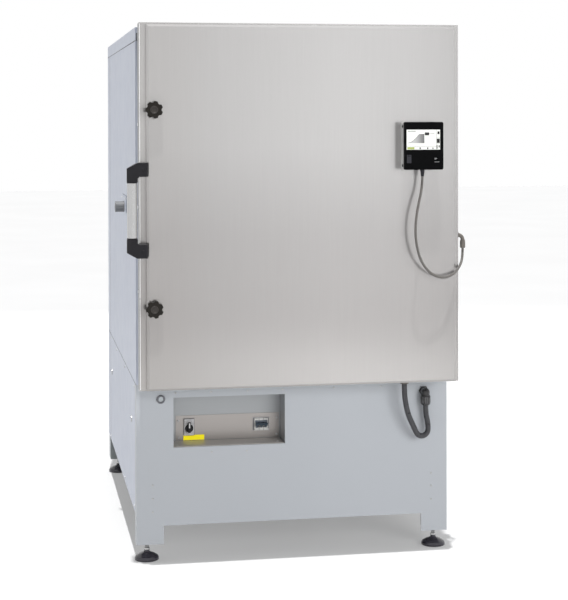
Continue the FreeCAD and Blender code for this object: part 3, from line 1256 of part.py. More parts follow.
def handle_leg(upper):
    """Leg seen from above: a foot on the rim, an arm forward and a socket round the tube."""
    leg = body()
    start = GRIP_TOP if upper else "grip_bottom - leg_rise"
    plan = sketch(leg, "xy", start)
    left, right = "(%s - leg_front)" % GRIP_X, "(%s + leg_foot + 2)" % ("(-door_width / 2)")
    front = "(%s - leg_front)" % GRIP_Y
    outline(plan, [("-door_width / 2 + 1", RIM_FRONT), ("-door_width / 2 + leg_foot", RIM_FRONT),
                   (right, front + " + leg_round"), (right + " - leg_round", front),
                   (left + " + leg_round * 2", front), (left, front + " + leg_round * 2"),
                   (left, GRIP_Y + " + leg_front - leg_round * 2"), (left + " + leg_round * 2", GRIP_Y + " + leg_front"),
                   ("-door_width / 2 - leg_round", GRIP_Y + " + leg_front"), ("-door_width / 2 + 1", GRIP_Y + " + leg_front + leg_round * 2")])
    pad(leg, plan, "leg_rise")
    relief = sketch(leg, "xz", front + " - 1")
    inner = "(%s + leg_front)" % GRIP_X
    if upper:
        shelf_z, far = "(%s + leg_rise - leg_arm)" % GRIP_TOP, "(%s - 1)" % GRIP_TOP
        outline(relief, [(inner, far), (right + " + 3", far), (right + " + 3", shelf_z),
                         (inner + " + leg_round", shelf_z), (inner, shelf_z + " - leg_round")])
        crown = "(%s + leg_rise + 1)" % GRIP_TOP
        outline(relief, [(left + " - 1", crown + " - leg_front - 2"), (left + " + leg_front * 2", crown),
                         (left + " - 1", crown)])
    else:
        shelf_z, far = "(grip_bottom - leg_rise + leg_arm)", "(grip_bottom + 1)"
        outline(relief, [(inner, far), (right + " + 3", far), (right + " + 3", shelf_z),
                         (inner + " + leg_round", shelf_z), (inner, shelf_z + " + leg_round")])
        crown = "(grip_bottom - leg_rise - 1)"
        outline(relief, [(left + " - 1", crown + " + leg_front + 2"), (left + " + leg_front * 2", crown),
                         (left + " - 1", crown)])
    pocket(leg, relief, "handle_stand + 3 * leg_front")
    return leg


legs = doc.addObject("Part::Compound", "Legs")
legs.Links = [handle_leg(True), handle_leg(False)]
named(legs, "handle_legs")
named(cut(rod("grip_radius", (GRIP_X, GRIP_Y, "grip_bottom"), "grip_length", "z"),
          [rod("grip_radius - grip_wall", (GRIP_X, GRIP_Y, "grip_bottom - 1"), "grip_length + 2", "z")]),
      "handle_grip")


# Controller: housing on the door, front with screen recess and a small hinged flap

PANEL_BACK = "(%s - housing_depth)" % FACE_FRONT
PANEL_FRONT = "(%s - housing_depth - front_depth)" % FACE_FRONT
FLAP = ("(panel_left + flap_left)", "(panel_bottom + flap_low)")


def rounded_box(low, high, radius):
    """A box whose four edges along Y are rounded."""
    case = body()
    face = sketch(case, "xz", high[1])
    rectangle(face, (low[0], low[2]), (high[0], high[2]))
    shape = pad(case, face, "%s - %s" % (high[1], low[1]))
    doc.recompute()
    edges = ["Edge%d" % (i + 1) for i, edge in enumerate(shape.Shape.Edges)
             if abs(edge.Vertexes[0].Point.y - edge.Vertexes[-1].Point.y) > 0.5]
    soft = case.newObject("PartDesign::Fillet", "Corners")
    soft.Base = (shape, edges)
    soft.setExpression("Radius", bound(radius))
    return case


def controller():
    low_x, low_z = "panel_left", "panel_bottom"
    high_x, high_z = "(panel_left + panel_width)", "(panel_bottom + panel_height)"
    housing = rounded_box((low_x + " + housing_inset", PANEL_BACK, low_z + " + 2"),
                          (high_x + " - housing_inset", FACE_FRONT, high_z + " - 2"), "4")
    named(housing, "controller_housing")
    front = rounded_box((low_x, PANEL_FRONT, low_z), (high_x, PANEL_BACK, high_z), "6")
    screen = block((low_x + " + screen_left", PANEL_FRONT + " - 1", low_z + " + screen_low"),
                   (low_x + " + screen_left + screen_width", PANEL_FRONT + " + screen_recess",
                    low_z + " + screen_low + screen_height"))
    x, z = FLAP
    bed = block((x, PANEL_FRONT + " - 1", z), (x + " + flap_width", PANEL_FRONT + " + flap_cover + 1", z + " + flap_height"))
    pivot = rod("flap_pivot + running_gap", (x + " - 2", PANEL_FRONT + " + flap_pivot + 0.5", z + " + flap_pivot + 1"),
                "flap_width + 4", "x")
    named(cut(front, [screen, bed, pivot]), "controller_front")
    lid = block((x + " + clearance", PANEL_FRONT, z + " + flap_pivot + 1"),
                (x + " + flap_width - clearance", PANEL_FRONT + " + flap_cover", z + " + flap_height - clearance"))
    pin = rod("flap_pivot", (x + " - 1.5", PANEL_FRONT + " + flap_pivot + 0.5", z + " + flap_pivot + 1"),
              "flap_width + 3", "x")
    named(fuse([lid, pin]), "controller_flap")


controller()


# Glands of the door: angled gland for the controller cable, socket for the door hose

def door_glands():
    y, z = "(%s - gland_setback)" % FRONT, "gland_height"
    x = "(%s + gland_reach)" % DOOR_SIDE
    drop = "(%s - gland_drop)" % z
    curve = "(gland_reach - gland_nut)"
    angled = fuse([rod("gland_neck", (DOOR_SIDE + " - thread_depth", y, z), "thread_depth + gland_nut", "x"),
                   bend(curve, "gland_neck", (DOOR_SIDE + " + gland_nut", y, z + " - " + curve)),
                   rod("gland_neck", (x, y, drop), "gland_drop - " + curve, "z"),
                   rod("gland_radius", (x, y, drop), "gland_drop * 0.58", "z"),
                   hexagon("gland_radius + 1", (DOOR_SIDE, y, z), "gland_nut", "x")])
    sy = TRAY_FRONT + " + door_tray / 2"
    low = "(door_bottom - socket_reach)"
    socket = fuse([rod("socket_radius - 3", ("socket_place", sy, low), "socket_reach + tray_inset + 8", "z"),
                   hexagon("socket_radius + 2", ("socket_place", sy, low), "socket_reach + tray_inset", "z")])
    pair = doc.addObject("Part::Compound", "Glands")
    pair.Links = [angled, socket]
    named(pair, "door_glands")


door_glands()


# Cables: straight runs joined by tangent arcs

def tube(label, points, radius):
    """A round cord along a route of points; prints its arc radii and its length."""
    route = [V(*point) for point in points]
    edges = []
    start = route[0]
    radii = []
    for before, corner, after in zip(route, route[1:], route[2:]):
        run_in, run_out = corner - before, after - corner
        turn = run_in.getAngle(run_out)
        bend = 0.45 * min(run_in.Length, run_out.Length) / math.tan(turn / 2)
        radii.append(round(bend, 1))
        reach = bend * math.tan(turn / 2)
        entry = corner - run_in.normalize() * reach
        leave = corner + run_out.normalize() * reach
        inward = (entry + leave) * 0.5 - corner
        middle = corner + inward.normalize() * (bend / math.cos(turn / 2) - bend)
        edges.append(Part.LineSegment(start, entry).toShape())
        edges.append(Part.Arc(entry, middle, leave).toShape())
        start = leave
    edges.append(Part.LineSegment(start, route[-1]).toShape())
    path = Part.Wire(edges)
    ring = Part.Wire([Part.Circle(route[0], route[1] - route[0], radius).toShape()])
    solid = path.makePipeShell([ring], True, False, 2)
    solid = Part.Solid(Part.Shell(solid.Faces)) if solid.ShapeType != "Solid" else solid
    if solid.Volume < 0:
        solid.reverse()
    share = solid.Volume / (math.pi * radius ** 2 * path.Length)
    print("%s: length %.0f, radii %s, volume share %.4f" % (label, path.Length, radii, share))
    cord = doc.addObject("Part::Feature", "Cord")
    cord.Shape = solid
    named(cord, label)


def door_hose():
    """Conduit from the socket under the door, down in a loop and up into the elbow."""
    top_x = number("socket_place")
    top_y = number(TRAY_FRONT + " + door_tray / 2")
    top_z = number("door_bottom - socket_reach")
    end_x = number("elbow_place")
    end_y = number(FRONT + " - elbow_reach")
    end_z = number("elbow_height - elbow_drop")
    front = number(FRONT)
    tube("door_hose", [(top_x, top_y, top_z), (top_x, top_y, top_z - 38), (top_x + 6, front - 71, top_z - 80),
                       (top_x + 18, front - 66, top_z - 122), (top_x + 38, front - 59, top_z - 162),
                       (end_x - 37, front - 50, end_z - 115), (end_x - 12, front - 44, end_z - 121),
                       (end_x + 8, front - 38, end_z - 106), (end_x + 8, front - 33, end_z - 74),
                       (end_x, end_y, end_z - 36), (end_x, end_y, end_z)],
         number("hose_radius"))


def controller_cable():
    """Cable from the controller, hanging in a loop round the door's edge and up into the gland."""
    x = number("panel_left + panel_width / 2")
    y = number(FACE_FRONT + " - cable_standoff")
    z = number("panel_bottom + 2")
    end_x = number(DOOR_SIDE + " + gland_reach")
    end_y = number(FRONT + " - gland_setback")
    end_z = number("gland_height - gland_drop")
    tube("controller_cable", [(x, y, z), (x, y, z - 40), (x - 7, y - 7, z - 83), (x - 20, y - 15, z - 129),
                              (x - 30, y - 21, z - 178), (x - 33, y - 23, z - 227), (x - 28, y - 22, z - 276),
                              (end_x - 190, end_y - 103, end_z - 29), (end_x - 166, end_y - 97, end_z - 67),
                              (end_x - 130, end_y - 90, end_z - 95), (end_x - 87, end_y - 80, end_z - 102),
                              (end_x - 48, end_y - 60, end_z - 88), (end_x - 18, end_y - 29, end_z - 63),
                              (end_x, end_y, end_z - 35), (end_x, end_y, end_z)], number("cable_radius"))


door_hose()
controller_cable()

doc.recompute()

failed = [item.Label for item in doc.Objects if "Invalid" in item.State or "Error" in item.State]
if failed:
    raise ValueError("failed objects: %s" % ", ".join(failed))

os.makedirs("parts", exist_ok=True)
for piece in pieces:
    shape = piece.Shape
    if shape.isNull() or not shape.isValid():
        raise ValueError("bad shape: " + piece.Label)
for piece in pieces:
    piece.Shape.exportStep("parts/%s.step" % piece.Label)
print("%d sub-parts written" % len(pieces))
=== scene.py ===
import math
import random

import bmesh
import bpy
from mathutils import Matrix, Vector


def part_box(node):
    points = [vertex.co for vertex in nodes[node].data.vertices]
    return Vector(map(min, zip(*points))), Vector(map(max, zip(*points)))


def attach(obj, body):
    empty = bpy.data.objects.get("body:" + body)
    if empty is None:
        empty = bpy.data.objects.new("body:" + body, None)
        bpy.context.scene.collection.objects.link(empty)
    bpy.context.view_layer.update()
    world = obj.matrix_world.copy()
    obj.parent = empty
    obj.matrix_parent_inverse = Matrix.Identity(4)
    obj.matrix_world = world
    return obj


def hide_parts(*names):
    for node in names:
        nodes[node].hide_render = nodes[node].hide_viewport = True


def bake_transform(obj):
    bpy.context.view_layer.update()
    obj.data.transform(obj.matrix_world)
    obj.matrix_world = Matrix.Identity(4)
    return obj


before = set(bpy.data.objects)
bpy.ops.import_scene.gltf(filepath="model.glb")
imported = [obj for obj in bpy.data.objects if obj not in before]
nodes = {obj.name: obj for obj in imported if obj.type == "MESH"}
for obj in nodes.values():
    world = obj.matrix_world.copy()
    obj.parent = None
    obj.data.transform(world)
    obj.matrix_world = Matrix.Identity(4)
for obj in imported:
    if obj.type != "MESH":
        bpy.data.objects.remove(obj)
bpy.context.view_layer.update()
scene = bpy.context.scene
random.seed(7)

FRONT = -0.770
BACK = 0.770
SIDE = 0.585
FOCAL_LENGTH = 1532.8
HORIZON = 133.8
PICTURE_HEIGHT = 600.0
SENSOR_HEIGHT = 24.0

HOSE_RADIUS = 0.0105
CABLE_RADIUS = 0.0045
CABLE_TOP = (0.432, FRONT - 0.221)
CABLE_GLAND = (0.608, FRONT - 0.135)
HOSE_ELBOW = (0.495, FRONT - 0.030, 0.552)
HINGES = (("lower", 0.804), ("upper", 1.810))
FAN = (0.0, 1.305)
EXHAUST = (0.230, 1.640)


# Camera: at the photograph's angle, with a small shift for its framing

def make_camera():
    data = bpy.data.cameras.new("camera")
    data.sensor_fit = "VERTICAL"
    data.sensor_height = SENSOR_HEIGHT
    data.lens = FOCAL_LENGTH * SENSOR_HEIGHT / PICTURE_HEIGHT
    data.shift_y = (HORIZON - PICTURE_HEIGHT / 2) / PICTURE_HEIGHT
    data.clip_end = 60.0
    camera = bpy.data.objects.new("camera", data)
    scene.collection.objects.link(camera)
    camera.location = (-1.0406, -5.579 + FRONT, 1.6064)
    camera.rotation_euler = [math.radians(a) for a in (89.556, 0.133, -10.209)]
    scene.camera = camera


make_camera()


# Node helpers

class Graph:
    """A small wrapper round a material's node tree."""

    def __init__(self, name):
        self.material = bpy.data.materials.new(name)
        self.material.use_nodes = True
        self.tree = self.material.node_tree
        self.tree.nodes.clear()
        self.output = self.add("ShaderNodeOutputMaterial")
        self.shader = self.add("ShaderNodeBsdfPrincipled")
        self.link(self.shader, "BSDF", self.output, "Surface")
        self.place = self.add("ShaderNodeTexCoord")

    def add(self, kind, **values):
        node = self.tree.nodes.new(kind)
        for key, value in values.items():
            if hasattr(node, key):
                setattr(node, key, value)
            else:
                node.inputs[key].default_value = value
        return node

    def link(self, source, out, target, into):
        self.tree.links.new(source.outputs[out], target.inputs[into])

    def scaled(self, x, y, z):
        """Object coordinates stretched by three factors."""
        node = self.add("ShaderNodeMapping", Scale=(x, y, z))
        self.link(self.place, "Object", node, "Vector")
        return node

    def noise(self, vector, scale, detail=3.0, roughness=0.55):
        node = self.add("ShaderNodeTexNoise", Scale=scale, Detail=detail, Roughness=roughness)
        self.link(vector, "Vector", node, "Vector")
        return node

    def ramp(self, source, out, stops):
        """A colour ramp over (position, colour or grey) stops."""
        node = self.add("ShaderNodeValToRGB")
        ramp = node.color_ramp
        while len(ramp.elements) < len(stops):
            ramp.elements.new(0.5)
        for element, (position, colour) in zip(ramp.elements, stops):
            element.position = position
            element.color = (*colour, 1) if isinstance(colour, tuple) else (colour, colour, colour, 1)
        self.link(source, out, node, "Fac")
        return node

    def spread(self, source, low, high, out="Fac"):
        """The source's 0.3 to 0.7 mapped to a range of numbers."""
        limits = {"From Min": 0.3, "From Max": 0.7, "To Min": low, "To Max": high}
        node = self.add("ShaderNodeMapRange", **limits)
        self.link(source, out, node, "Value")
        return node

    def mixed(self, first, second, factor, **values):
        """Two colour outputs mixed by a factor."""
        mix = self.add("ShaderNodeMix", data_type="RGBA", Factor=factor, **values)
        self.link(*first, mix, "A")
        self.link(*second, mix, "B")
        return mix, "Result"

    def faded(self, source, axis, low, high, stops):
        """The source colour times a ramp that runs along one axis of the object."""
        split = self.add("ShaderNodeSeparateXYZ")
        self.link(self.place, "Object", split, "Vector")
        span = self.add("ShaderNodeMapRange", **{"From Min": low, "From Max": high})
        self.link(split, axis, span, "Value")
        tone = self.ramp(span, "Result", stops)
        return self.mixed(source, (tone, "Color"), 1.0, blend_type="MULTIPLY")

    def bump(self, source, strength, distance, out="Fac", after=None):
        node = self.add("ShaderNodeBump", Strength=strength, Distance=distance)
        self.link(source, out, node, "Height")
        if after is not None:
            self.link(after, "Normal", node, "Normal")
        return node

    def set(self, **values):
        for key, value in values.items():
            self.shader.inputs[key.replace("_", " ")].default_value = value

    def colour(self, source, out="Color"):
        self.link(source, out, self.shader, "Base Color")

    def rough(self, source, out="Result"):
        self.link(source, out, self.shader, "Roughness")

    def normal(self, source):
        self.link(source, "Normal", self.shader, "Normal")


def shade(colour, factor):
    return tuple(min(1.0, c * factor) for c in colour)


def sheet_metal(name, colour, grain, roughness, metallic, spec=0.5, streak=0.012, fade=None):
    """Rolled or brushed sheet: long grain along one axis, faint clouding and tiny dents."""
    g = Graph(name)
    g.set(Metallic=metallic, IOR=1.45, Specular_IOR_Level=spec)
    lines = g.noise(g.scaled(*grain), 1.0, 4.0, 0.6)
    cloud = g.noise(g.scaled(1, 1, 1), 2.2, 3.0)
    tone = g.ramp(lines, "Fac", [(0.3, shade(colour, 1 - streak * 2)), (0.7, shade(colour, 1 + streak * 2))])
    haze = g.ramp(cloud, "Fac", [(0.3, shade(colour, 1 - streak)), (0.7, shade(colour, 1 + streak))])
    tinted = g.mixed((tone, "Color"), (haze, "Color"), 0.35)
    # Painted shade: these ramps multiply the sheet's colour along the object's axes; the door's sheet is
    # darkened towards the bottom and the side edges by them.
    for axis, (low, high), stops in fade or ():
        tinted = g.faded(tinted, axis, low, high, stops)
    g.link(*tinted, g.shader, "Base Color")
    g.rough(g.spread(lines, roughness * 0.9, roughness * 1.12))
    fine = g.bump(lines, 0.05, 0.0004)
    dents = g.bump(g.noise(g.scaled(1, 1, 1), 1.6, 1.0), 0.10, 0.006, after=fine)
    g.normal(dents)
    return g.material


def powder_coat(name, colour, roughness=0.42, peel=0.10):
    """Sprayed and baked paint: fine orange peel, faint clouding, slightly worn gloss."""
    g = Graph(name)
    g.set(Metallic=0.0, IOR=1.5)
    cloud = g.noise(g.scaled(1, 1, 0.6), 1.7, 3.0)
    g.colour(g.ramp(cloud, "Fac", [(0.3, shade(colour, 0.975)), (0.7, shade(colour, 1.02))]))
    patches = g.noise(g.scaled(1, 1, 1), 14.0, 2.0)
    g.rough(g.spread(patches, roughness - 0.04, roughness + 0.05))
    skin = g.bump(g.noise(g.scaled(1, 1, 1), 900.0, 2.0), peel, 0.0002)
    panel = g.bump(g.noise(g.scaled(1, 1, 1), 1.3, 1.0), 0.08, 0.006, after=skin)
    g.normal(panel)
    return g.material


def moulded(name, colour, roughness=0.45, grain=1400.0, strength=0.18, spec=0.5):
    """Moulded plastic: eroded grain, faint flow marks and rubbed gloss."""
    g = Graph(name)
    g.set(Metallic=0.0, IOR=1.46, Specular_IOR_Level=spec)
    flow = g.noise(g.scaled(1, 1, 1), 35.0, 3.0)
    g.colour(g.ramp(flow, "Fac", [(0.3, shade(colour, 0.88)), (0.7, shade(colour, 1.15))]))
    g.rough(g.spread(flow, roughness - 0.05, roughness + 0.06))
    g.normal(g.bump(g.noise(g.scaled(1, 1, 1), grain, 2.0), strength, 0.0002))
    return g.material


def fibre(name, light, dark, scale=220.0, depth=0.001):
    """Pressed mineral fibre: matted strands, specks and a soft surface."""
    g = Graph(name)
    g.set(Metallic=0.0, Roughness=0.95, Specular_IOR_Level=0.15)
    strands = g.noise(g.scaled(1, 1, 4), scale, 5.0, 0.7)
    patches = g.noise(g.scaled(1, 1, 1), 9.0, 3.0)
    low = g.ramp(strands, "Fac", [(0.25, dark), (0.75, light)])
    high = g.ramp(strands, "Fac", [(0.25, shade(dark, 1.08)), (0.75, shade(light, 1.05))])
    mix, out = g.mixed((low, "Color"), (high, "Color"), 0.5)
    g.link(patches, "Fac", mix, "Factor")
    g.colour(mix, out)
    g.normal(g.bump(strands, 0.6, depth))
    return g.material


def rope(name, light, dark):
    """Braided glass rope of the door seal."""
    g = Graph(name)
    g.set(Metallic=0.0, Roughness=0.9)
    wave = g.add("ShaderNodeTexWave", bands_direction="DIAGONAL", Scale=90.0, Distortion=1.5, Detail=2.0)
    g.link(g.place, "Object", wave, "Vector")
    g.colour(g.ramp(wave, "Fac", [(0.2, dark), (0.8, light)]))
    g.normal(g.bump(wave, 0.7, 0.0012))
    return g.material


def ribbed_hose(name, colour, pitch, roughness=0.5):
    """Flexible conduit: worn black rubber with dust in its folds."""
    g = Graph(name)
    g.set(Metallic=0.0, IOR=1.5)
    dust = g.noise(g.scaled(1, 1, 1), 60.0, 4.0)
    g.colour(g.ramp(dust, "Fac", [(0.3, shade(colour, 0.92)), (0.72, shade(colour, 1.14))]))
    g.rough(g.spread(dust, roughness - 0.04, roughness + 0.07))
    g.normal(g.bump(g.noise(g.scaled(1, 1, 1), pitch, 2.0), 0.15, 0.0003))
    return g.material


def tinted_alloy(name):
    """Heater tube with heat colours in bands."""
    g = Graph(name)
    g.set(Metallic=0.9, Roughness=0.42)
    bands = g.noise(g.scaled(3, 3, 14), 1.0, 3.0)
    stops = [(0.2, (0.16, 0.13, 0.11)), (0.5, (0.30, 0.22, 0.15)), (0.8, (0.20, 0.20, 0.24))]
    g.colour(g.ramp(bands, "Fac", stops))
    g.normal(g.bump(g.noise(g.scaled(1, 1, 1), 400.0), 0.2, 0.0003))
    return g.material


def plain(name, colour, roughness=0.4, emission=0.0):
    """A small painted or printed surface with faint mottling."""
    g = Graph(name)
    g.set(Metallic=0.0)
    spots = g.noise(g.scaled(1, 1, 1), 60.0, 3.0)
    tone = g.ramp(spots, "Fac", [(0.3, shade(colour, 0.95)), (0.7, shade(colour, 1.05))])
    g.colour(tone)
    g.rough(g.spread(spots, roughness - 0.03, roughness + 0.04))
    # Emission lets a surface light by itself: true of the controller's screen, a painted glow on the yellow
    # label.
    if emission:
        g.link(tone, "Color", g.shader, "Emission Color")
        g.set(Emission_Strength=emission)
    return g.material


def chart_tone(name, left, right):
    """Grey of the programme chart: pale at the start of the heating ramp, dark at its end."""
    g = Graph(name)
    g.set(Metallic=0.0, Roughness=0.15)
    spots = g.noise(g.scaled(1, 1, 1), 900.0, 2.0)
    tone = g.ramp(spots, "Fac", [(0.3, 0.95), (0.7, 1.0)])
    g.link(*g.faded((tone, "Color"), "X", left, right, [(0.0, 0.62), (0.45, 0.48), (0.8, 0.24), (1.0, 0.15)]),
           g.shader, "Base Color")
    return g.material


DOOR = (0.572, 0.563, 0.557)
# Painted shade: the door's sheet is darkened and warmed towards the bottom and darkened towards both side
# edges, in place of the fall of light on it.
DOOR_PAINTED_SHADE = [
    ("Z", (0.654, 1.960), [(0.0, (0.755, 0.745, 0.735)), (0.18, (0.785, 0.770, 0.765)),
                           (0.30, (0.825, 0.812, 0.808)), (0.42, (0.84, 0.83, 0.828)),
                           (0.54, (0.90, 0.895, 0.895)), (0.66, 0.965), (0.80, 0.970), (1.0, 0.965)]),
    ("X", (-SIDE, SIDE), [(0.0, (0.86, 0.855, 0.85)), (0.11, (0.87, 0.865, 0.86)), (0.22, 0.905),
                          (0.34, 0.94), (0.46, 0.97), (0.60, 1.0), (0.72, 0.99), (0.84, 0.96),
                          (0.93, 0.915), (1.0, 0.85)]),
]
mats = {}


def palette(maker, **rows):
    """Materials of one kind, each from its name and the values that follow it."""
    for name, values in rows.items():
        mats[name] = maker(name, *values)


palette(sheet_metal,
        door_stainless=(DOOR, (320, 320, 5), 0.15, 0.6, 0.5, 0.012, DOOR_PAINTED_SHADE),
        stainless=((0.60, 0.60, 0.59), (420, 6, 6), 0.30, 0.85),
        niche_steel=((0.345, 0.357, 0.368), (6, 300, 300), 0.36, 0.5),
        plate_steel=((0.38, 0.355, 0.34), (8, 300, 300), 0.32, 0.6),
        # painted light: pale sheet for the shaded floor of the niche
        niche_floor=((0.60, 0.575, 0.55), (8, 300, 300), 0.4, 0.35),
        door_edge=((0.40, 0.42, 0.41), (6, 6, 200), 0.45, 0.4),
        # painted shade of the door's side faces
        edge_sheet=((0.42, 0.425, 0.425), (6, 6, 240), 0.5, 0.1, 0.2),
        # painted highlight of the door's left fold
        rim_edge=((0.86, 0.86, 0.86), (6, 6, 200), 0.3, 0.5),
        handle_tube=((0.51, 0.51, 0.51), (500, 500, 10), 0.24, 0.8, 0.5, 0.008),
        zinc_steel=((0.55, 0.55, 0.53), (60, 60, 60), 0.38, 0.8, 0.5, 0.05),
        screw_steel=((0.52, 0.52, 0.52), (90, 90, 90), 0.3, 0.9),
        screw_pale=((0.80, 0.80, 0.80), (90, 90, 90), 0.3, 0.5))
palette(powder_coat,
        # Painted light and shade: one grey paint in two copies, a lighter, bluer one for the sides, top and
        # rear and a darker one for the base's front panel.
        side_paint=((0.515, 0.55, 0.64),),
        base_paint=((0.452, 0.474, 0.505),),
        frame_paint=((0.34, 0.37, 0.38), 0.5),
        motor_paint=((0.12, 0.14, 0.17), 0.45, 0.2))
palette(moulded,
        black_plastic=((0.016, 0.016, 0.019), 0.42, 1400.0, 0.18, 0.25),
        foot_plastic=((0.040, 0.037, 0.049), 0.16, 900.0, 0.06, 0.6),
        knob_plastic=((0.013, 0.011, 0.009), 0.36, 1100.0, 0.2, 0.2),
        knob_cap=((0.035, 0.031, 0.028), 0.35, 900.0, 0.15, 0.3),
        handle_plastic=((0.011, 0.0105, 0.013), 0.42, 1500.0, 0.3, 0.25),
        grey_plastic=((0.40, 0.41, 0.42), 0.45),
        panel_plastic=((0.0022, 0.0023, 0.0026), 0.2, 1600.0, 0.03, 0.05),
        case_plastic=((0.52, 0.52, 0.51), 0.45, 1500.0, 0.15),
        gland_plastic=((0.13, 0.118, 0.105), 0.36),
        breaker_white=((0.62, 0.62, 0.60), 0.42),
        breaker_blue=((0.014, 0.030, 0.050), 0.35),
        breaker_shade=((0.10, 0.12, 0.15), 0.4),
        elbow_plastic=((0.020, 0.020, 0.021), 0.26, 900.0, 0.15, 0.6),
        nut_grey=((0.10, 0.10, 0.105), 0.3, 900.0, 0.15, 0.6),
        flap_plastic=((0.022, 0.022, 0.028), 0.3, 1400.0, 0.08, 0.3),
        plug_ring=((0.15, 0.155, 0.17), 0.4),
        plug_pale=((0.50, 0.53, 0.56), 0.4),
        inlet_grey=((0.20, 0.205, 0.21), 0.42, 900.0, 0.2),
        bezel_grey=((0.52, 0.51, 0.52), 0.4))
palette(ribbed_hose,
        hose_rubber=((0.040, 0.040, 0.045), 500.0, 0.30),
        cable_rubber=((0.115, 0.108, 0.100), 700.0, 0.40))
palette(plain,
        blank_yellow=((0.95, 0.82, 0.01), 0.45, 0.25),
        screen_white=((0.72, 0.73, 0.70), 0.12, 0.2),
        screen_grey=((0.10, 0.10, 0.10), 0.15),
        screen_dark=((0.02, 0.02, 0.02), 0.15),
        screen_green=((0.34, 0.40, 0.10), 0.15, 0.1),
        mark_grey=((0.36, 0.36, 0.37), 0.4),
        mark_white=((0.78, 0.78, 0.77), 0.4),
        # dark rubber of washers and joints, also used for painted shade and shadow
        seam_rubber=((0.06, 0.065, 0.075), 0.7))
palette(fibre, board=((0.80, 0.77, 0.70), (0.62, 0.59, 0.52)))
palette(rope, seal=((0.66, 0.64, 0.58), (0.38, 0.36, 0.32)))
palette(tinted_alloy, heater_alloy=())
palette(chart_tone, screen_haze=(0.374, 0.434))

SLOTS = {
    "base_frame": "frame_paint", "base_front_panel": "base_paint", "base_panel_left": "side_paint",
    "base_panel_right": "side_paint", "base_panel_rear": "side_paint", "base_deck": "zinc_steel",
    "levelling_feet": "foot_plastic", "control_niche": "niche_steel", "switch_plate": "plate_steel",
    "main_switch_body": "bezel_grey", "main_switch_lever": "black_plastic",
    "circuit_breaker": "breaker_white", "breaker_toggle": "breaker_blue", "switchgear_plate": "zinc_steel",
    "contactor": "grey_plastic", "base_fittings": "grey_plastic", "panel_locks": "zinc_steel",
    "hose_elbow": "elbow_plastic", "casing_side_left": "side_paint", "casing_side_right": "side_paint",
    "casing_rear": "side_paint", "casing_top": "side_paint", "front_frame": "stainless",
    "insulation_floor": "board", "insulation_top": "board", "insulation_left": "board",
    "insulation_right": "board", "insulation_rear": "board", "chamber_liner": "stainless",
    "air_baffle_left": "stainless", "air_baffle_right": "stainless", "air_baffle_rear": "stainless",
    "heating_elements": "heater_alloy", "shelf_rails": "stainless", "shelf_lower": "stainless",
    "shelf_upper": "stainless", "fan_wheel": "stainless", "fan_motor": "motor_paint",
    "exhaust_pipe": "stainless", "exhaust_flap": "stainless", "thermocouple": "zinc_steel",
    "air_inlet_flange": "side_paint", "air_inlet_knob": "inlet_grey", "hinge_brackets": "zinc_steel",
    "hinge_leaves": "zinc_steel", "door_skin": "door_stainless", "door_frame": "door_edge",
    "door_insulation": "board", "door_plug": "stainless", "door_seal": "seal",
    "star_knob_upper": "knob_plastic", "star_knob_lower": "knob_plastic", "handle_legs": "handle_plastic",
    "handle_grip": "handle_tube", "controller_housing": "case_plastic", "controller_front": "panel_plastic",
    "controller_flap": "flap_plastic", "door_glands": "gland_plastic",
}


def dress(name, material, bevel=0.0, smooth=35.0):
    """Give a CAD node its material and, where a bevel width is given, softened edges."""
    obj = nodes[name]
    obj.data.materials.clear()
    obj.data.materials.append(mats[material])
    for polygon in obj.data.polygons:
        polygon.material_index = 0
    if bevel:
        soft = obj.modifiers.new("edges", "BEVEL")
        soft.width = bevel
        soft.segments = 2
        soft.limit_method = "ANGLE"
        soft.angle_limit = math.radians(smooth)
        soft.harden_normals = False


BEVELS = {"casing_top": 0.0012, "door_skin": 0.0012, "door_frame": 0.0008, "base_front_panel": 0.0008,
          "handle_legs": 0.0025, "controller_housing": 0.0015, "controller_front": 0.0015,
          "main_switch_body": 0.0008, "main_switch_lever": 0.0012, "breaker_toggle": 0.0006,
          "hinge_brackets": 0.0008, "hinge_leaves": 0.0008, "hose_elbow": 0.0012, "air_inlet_knob": 0.001,
          "air_inlet_flange": 0.0006, "fan_motor": 0.001, "star_knob_upper": 0.0018,
          "star_knob_lower": 0.0018, "contactor": 0.001, "front_frame": 0.0008}
for node_name, material_name in SLOTS.items():
    dress(node_name, material_name, BEVELS.get(node_name, 0.0))


# Mesh helpers

def link(name, mesh, material, body, smooth=False):
    obj = bpy.data.objects.new(name, mesh)
    scene.collection.objects.link(obj)
    mesh.materials.append(mats[material])
    for polygon in mesh.polygons:
        polygon.use_smooth = smooth
    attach(obj, body)
    return obj


def from_bmesh(name, bm, material, body, smooth=False):
    bmesh.ops.recalc_face_normals(bm, faces=bm.faces)
    mesh = bpy.data.meshes.new(name)
    bm.to_mesh(mesh)
    bm.free()
    return link(name, mesh, material, body, smooth)


def add_box(bm, low, high, bevel=0.0):
    """A box between two corners, with rounded edges, added to a mesh."""
    size = [h - l for l, h in zip(low, high)]
    centre = [(h + l) / 2 for l, h in zip(low, high)]
    matrix = Matrix.Translation(centre) @ Matrix.Diagonal((*size, 1))
    made = bmesh.ops.create_cube(bm, size=1.0, matrix=matrix)
    if bevel:
        edges = list({e for v in made["verts"] for e in v.link_edges})
        bmesh.ops.bevel(bm, geom=edges, offset=bevel, segments=2, profile=0.7, affect="EDGES")


AXES = {
    "+x": Matrix.Rotation(math.radians(90), 4, "Y"), "-x": Matrix.Rotation(math.radians(-90), 4, "Y"),
    "+y": Matrix.Rotation(math.radians(-90), 4, "X"), "-y": Matrix.Rotation(math.radians(90), 4, "X"),
    "+z": Matrix.Identity(4), "-z": Matrix.Rotation(math.radians(180), 4, "X"),
}


